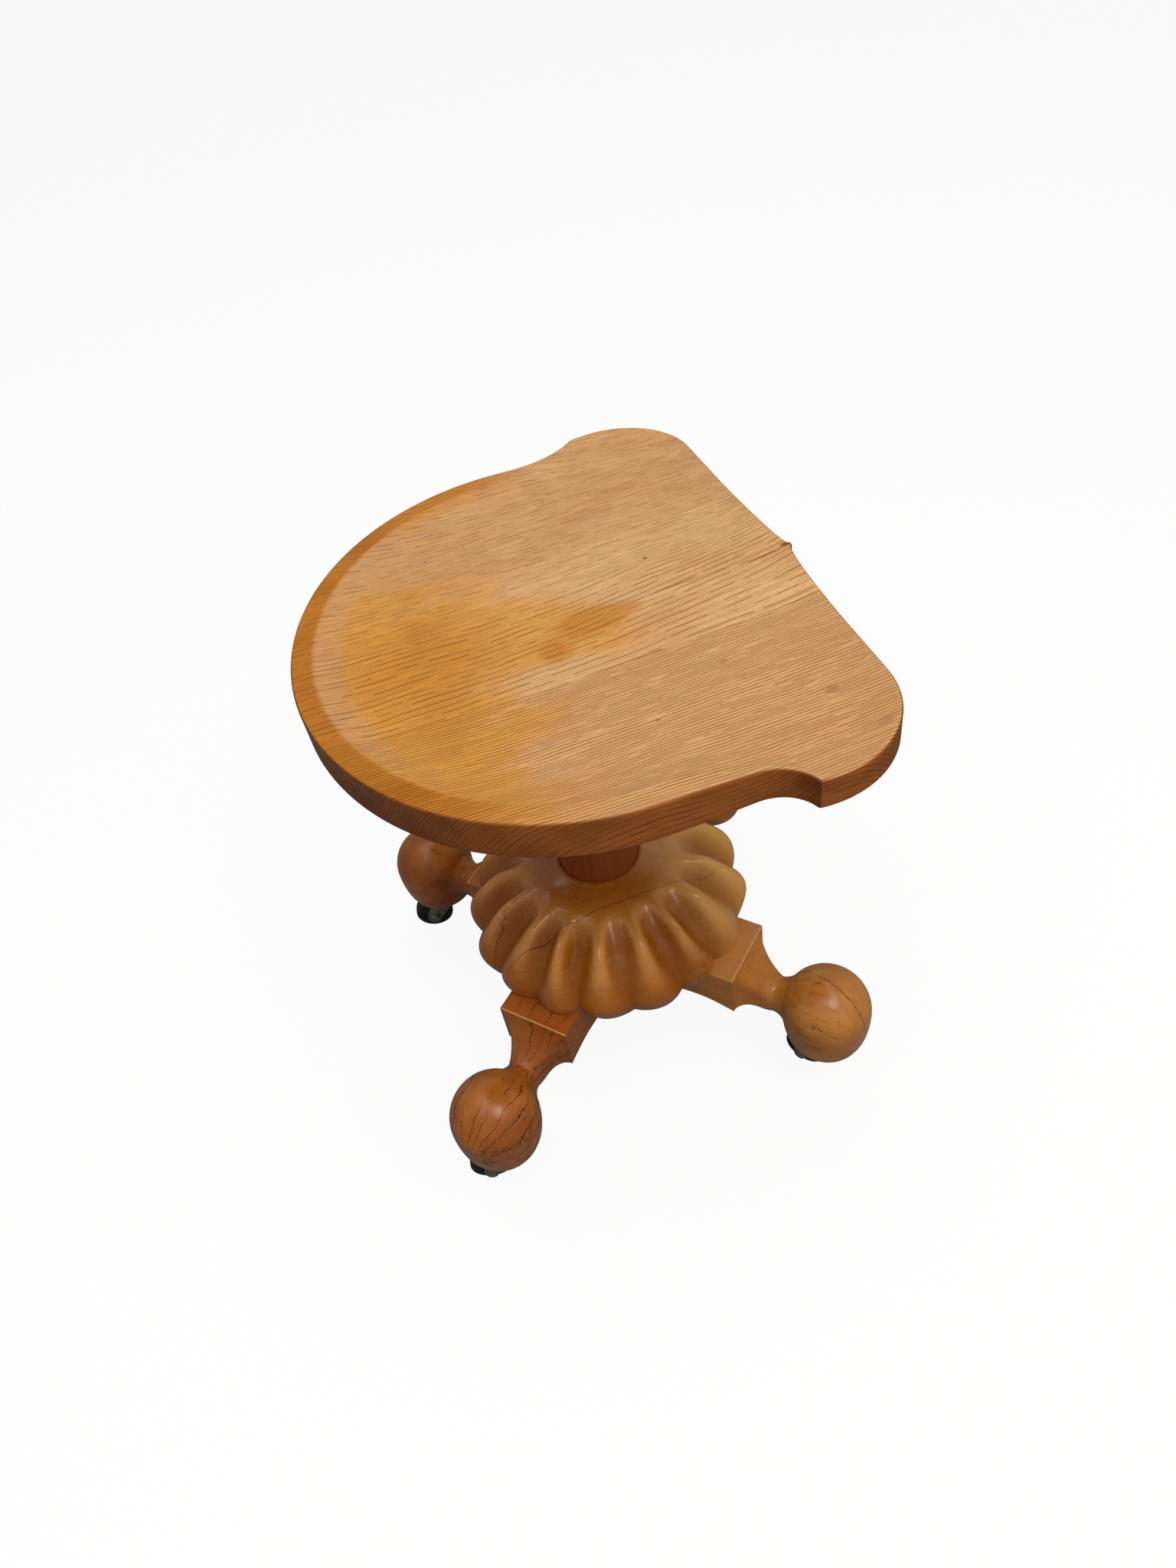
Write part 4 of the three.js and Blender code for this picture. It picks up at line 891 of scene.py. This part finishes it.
def fasteners():
    """Wood screws in threes and fours, the round plate and the bolts through it."""
    for count, reach, length, head, way, label, body, start in (
            (4, 70, 18, ARMS_UNDER, 1, "seat_screw", "seat", 0),
            (3, 28.3, 22, NUT_TOP, -1, "nut_screw", "pedestal", BASE_TURN),
            (3, 27, 24, PLATE_UNDER, 1, "pillar_screw", "pedestal", BASE_TURN)):
        for i in range(count):
            angle = start + i * TAU / count
            place = around(reach, angle, 0)
            piece(f"slotted_{label}_{i + 1}", body, BOLT_STEEL,
                  [moved(wood_screw(length, head, way), place, angle + 0.7 * i)],
                  (f"{label}_{i + 1}",), 30)
    piece("round_under_plate", "pedestal", PLATE_PAINT,
          [rod(74, PLATE_UNDER, PLATE_TOP, 1, 144)], ("under_plate",))
    for name, angle in zip(LEGS, LEG_ANGLES):
        place = around(56, angle, 0)
        bolt = [rod(4, 79, 163.7, 0.8, 40), hexagon(7.5, 75.9, 81.4, 1, 0)]
        piece(f"hex_leg_bolt_{name}", "pedestal", BOLT_STEEL,
              [moved(part, place, angle) for part in bolt], (f"leg_bolt_{name}",), 30)


# Casters, each made about its own swivel axis with its wheel trailing along +X

def caster_parts():
    """Each piece of a caster: its shells, the kind of body it rides on and its finish."""
    eye = np.linspace(-2.8, 0.35, 30)
    cheek = np.vstack([
        np.linspace([-13, 46.4], [-13, 43.9], 6), np.linspace([-13, 43.9], [10.4, 16.7], 20)[1:-1],
        np.column_stack([17 + 7 * np.cos(eye), 19 + 7 * np.sin(eye)]),
        np.linspace([23.6, 21.4], [13, 46.4], 20)[1:],
        np.linspace([13, 46.4], [-13, 46.4], 20)[1:-1]])
    cheeks = [laid(plate(cheek, low, low + 2.5, 0.6)) for low in (9.5, -12.0)]
    crown = eased([[-13, -12], [13, -12], [13, 12], [-13, 12]], 2.5, True, 8)
    race = eased([[0, 46.2], [13, 46.2], [13, 47.3], [12, 47.8], [13, 48.3], [13, 49.4],
                  [0, 49.4]], [0, 0.4, 0.3, 0.3, 0.3, 0.4, 0])
    fork = cheeks + [plate(crown, 43.9, 46.4, 0.7), shell(turned(race, 72)),
                     rod(4, 46.4, 82, 0.8)]
    middle = (17, 0, 19)
    axle = [laid(rod(3, -12.3, 16.5, 0.6, 40), middle),
            laid(hexagon(5.4, -14.9, -12.3, 1, 0), middle)]
    nut = [laid(hexagon(5.4, 12.3, 14.9, 0, 1), middle)]
    tyre = [[12.8, -7.5], [16.4, -7.5], [18.7, -5.2], [19, 0], [18.7, 5.2], [16.4, 7.5],
            [12.8, 7.5]]
    hub = [[3.3, -8.5], [6.5, -8.5], [6.9, -6.2], [10.6, -5.6], [11.2, -7.2], [12.5, -7.2],
           [12.5, 7.2], [11.2, 7.2], [10.6, 5.6], [6.9, 6.2], [6.5, 8.5], [3.3, 8.5]]
    socket = [[4.3, 49.7], [15, 49.7], [15, 51.7], [6.5, 51.7], [6.5, 82], [4.3, 82]]
    return {
        "socket": ([lathed(socket, [0.3, 0.8, 0.8, 0.3, 0.5, 0.3], 72)], "pedestal", ZINC),
        "fork": (fork, "swivel", ZINC),
        "axle": (axle, "swivel", ZINC),
        "nut": (nut, "swivel", ZINC),
        "wheel": ([laid(lathed(hub, 0.5, 96), middle)], "wheel", PLASTIC),
        "tyre": ([laid(lathed(tyre, [0.4, 1.4, 1.6, 3, 1.6, 1.4, 0.4], 120), middle)],
                 "wheel", RUBBER),
    }


def casters():
    for name, angle, trail in zip(LEGS, LEG_ANGLES, CASTER_TURNS):
        place = around(FOOT_REACH, angle, 0)
        for label, (parts, body, finish) in caster_parts().items():
            rides = body if body == "pedestal" else f"{body}_{name}"
            piece(f"{label}_of_{name}", rides, finish,
                  [moved(part, place, trail) for part in parts], (f"caster_{label}_{name}",), 32)


# Stage, light and camera

def emptied(owner):
    """Empties the owner's node tree. Gives a way to link its sockets and one to add a node."""
    owner.use_nodes = True
    tree = owner.node_tree
    tree.nodes.clear()
    return tree.links.new, lambda kind: tree.nodes.new("ShaderNode" + kind)


def finished(link, add, out, dim, seen):
    """Gives the tree its output: the seen shader for the camera, the dim one for other rays."""
    mix = add("MixShader")
    link(add("LightPath").outputs["Is Camera Ray"], mix.inputs[0])
    link(dim.outputs[0], mix.inputs[1])
    link(seen.outputs[0], mix.inputs[2])
    link(mix.outputs[0], add(out).inputs["Surface"])


def floor_finish():
    """A plain floor, grey to the light. The camera sees it white with the object's faint
    shadow: white paint that takes light and shadow, mixed with a white glow."""
    material = bpy.data.materials.new("pale_floor")
    link, add = emptied(material)
    grey, white, glow = add("BsdfDiffuse"), add("BsdfDiffuse"), add("Emission")
    seen = add("MixShader")
    grey.inputs["Color"].default_value = (0.25, 0.25, 0.25, 1)
    white.inputs["Color"].default_value = (0.95, 0.95, 0.95, 1)
    seen.inputs[0].default_value = 0.92
    link(white.outputs[0], seen.inputs[1])
    link(glow.outputs[0], seen.inputs[2])
    finished(link, add, "OutputMaterial", grey, seen)
    return material


def stage():
    """The floor, and a world that is white to the camera and dim and warm to the rest."""
    mesh = bpy.data.meshes.new("floor")
    span = 60.0
    mesh.from_pydata([(-span, -span, 0), (span, -span, 0), (span, span, 0), (-span, span, 0)],
                     [], [(0, 1, 2, 3)])
    floor = placed("floor", mesh)
    mesh.materials.append(floor_finish())

    world = bpy.data.worlds.new("studio")
    bpy.context.scene.world = world
    link, add = emptied(world)
    dim, bright = add("Background"), add("Background")
    for sky, colour, strength in ((dim, (1.0, 0.97, 0.92, 1), 0.36), (bright, (1, 1, 1, 1), 1.0)):
        sky.inputs["Color"].default_value = colour
        sky.inputs["Strength"].default_value = strength
    finished(link, add, "OutputWorld", dim, bright)


def lamp(name, place, aim, size, power, colour=(1, 1, 1)):
    """Square soft light that faces its aim, with its place and size in metres."""
    light = bpy.data.lights.new(name, "AREA")
    light.size, light.energy, light.color = size, power, colour
    made = placed(name, light)
    away = (Vector(place) - Vector(aim)).to_track_quat("Z", "Y")
    made.matrix_world = Matrix.Translation(place) @ away.to_matrix().to_4x4()
    return made


def camera():
    """Camera at the photograph's place: the eye, the heading and tilt of its axis, its roll,
    and its focal length in pixels of the 1536 x 2048 picture."""
    eye = np.array([-597.1, 117.68, 896.11]) * MM
    heading, tilt, roll, focal = np.radians(-101.317), np.radians(45.22), np.radians(-10.80), 1416
    data = bpy.data.cameras.new("camera")
    data.sensor_width, data.lens = 36, 36 * focal / 2048
    data.clip_start, data.clip_end = 0.01, 50
    made = placed("camera", data)
    made.matrix_world = (Matrix.Translation(eye) @ Matrix.Rotation(heading, 4, "Z")
                         @ Matrix.Rotation(QUARTER - tilt, 4, "X") @ Matrix.Rotation(roll, 4, "Z"))
    bpy.context.scene.camera = made


seat()
dome()
legs()
post()
spider()
fasteners()
casters()
stage()
# The fill is one that nothing mirrors, and the window is warm
lamp("overhead", (0.0, 0.2, 2.2), (0, 0, 0.3), 2.2, 20)
lamp("fill", (-1.5, -0.8, 1.3), (0, 0, 0.1), 1.5, 7.5).visible_glossy = False
lamp("window", (-1.1, -0.35, 2.1), (0, 0, 0.15), 0.9, 12, (1, 0.94, 0.84))
camera()
bpy.context.scene.view_settings.view_transform = "Standard"
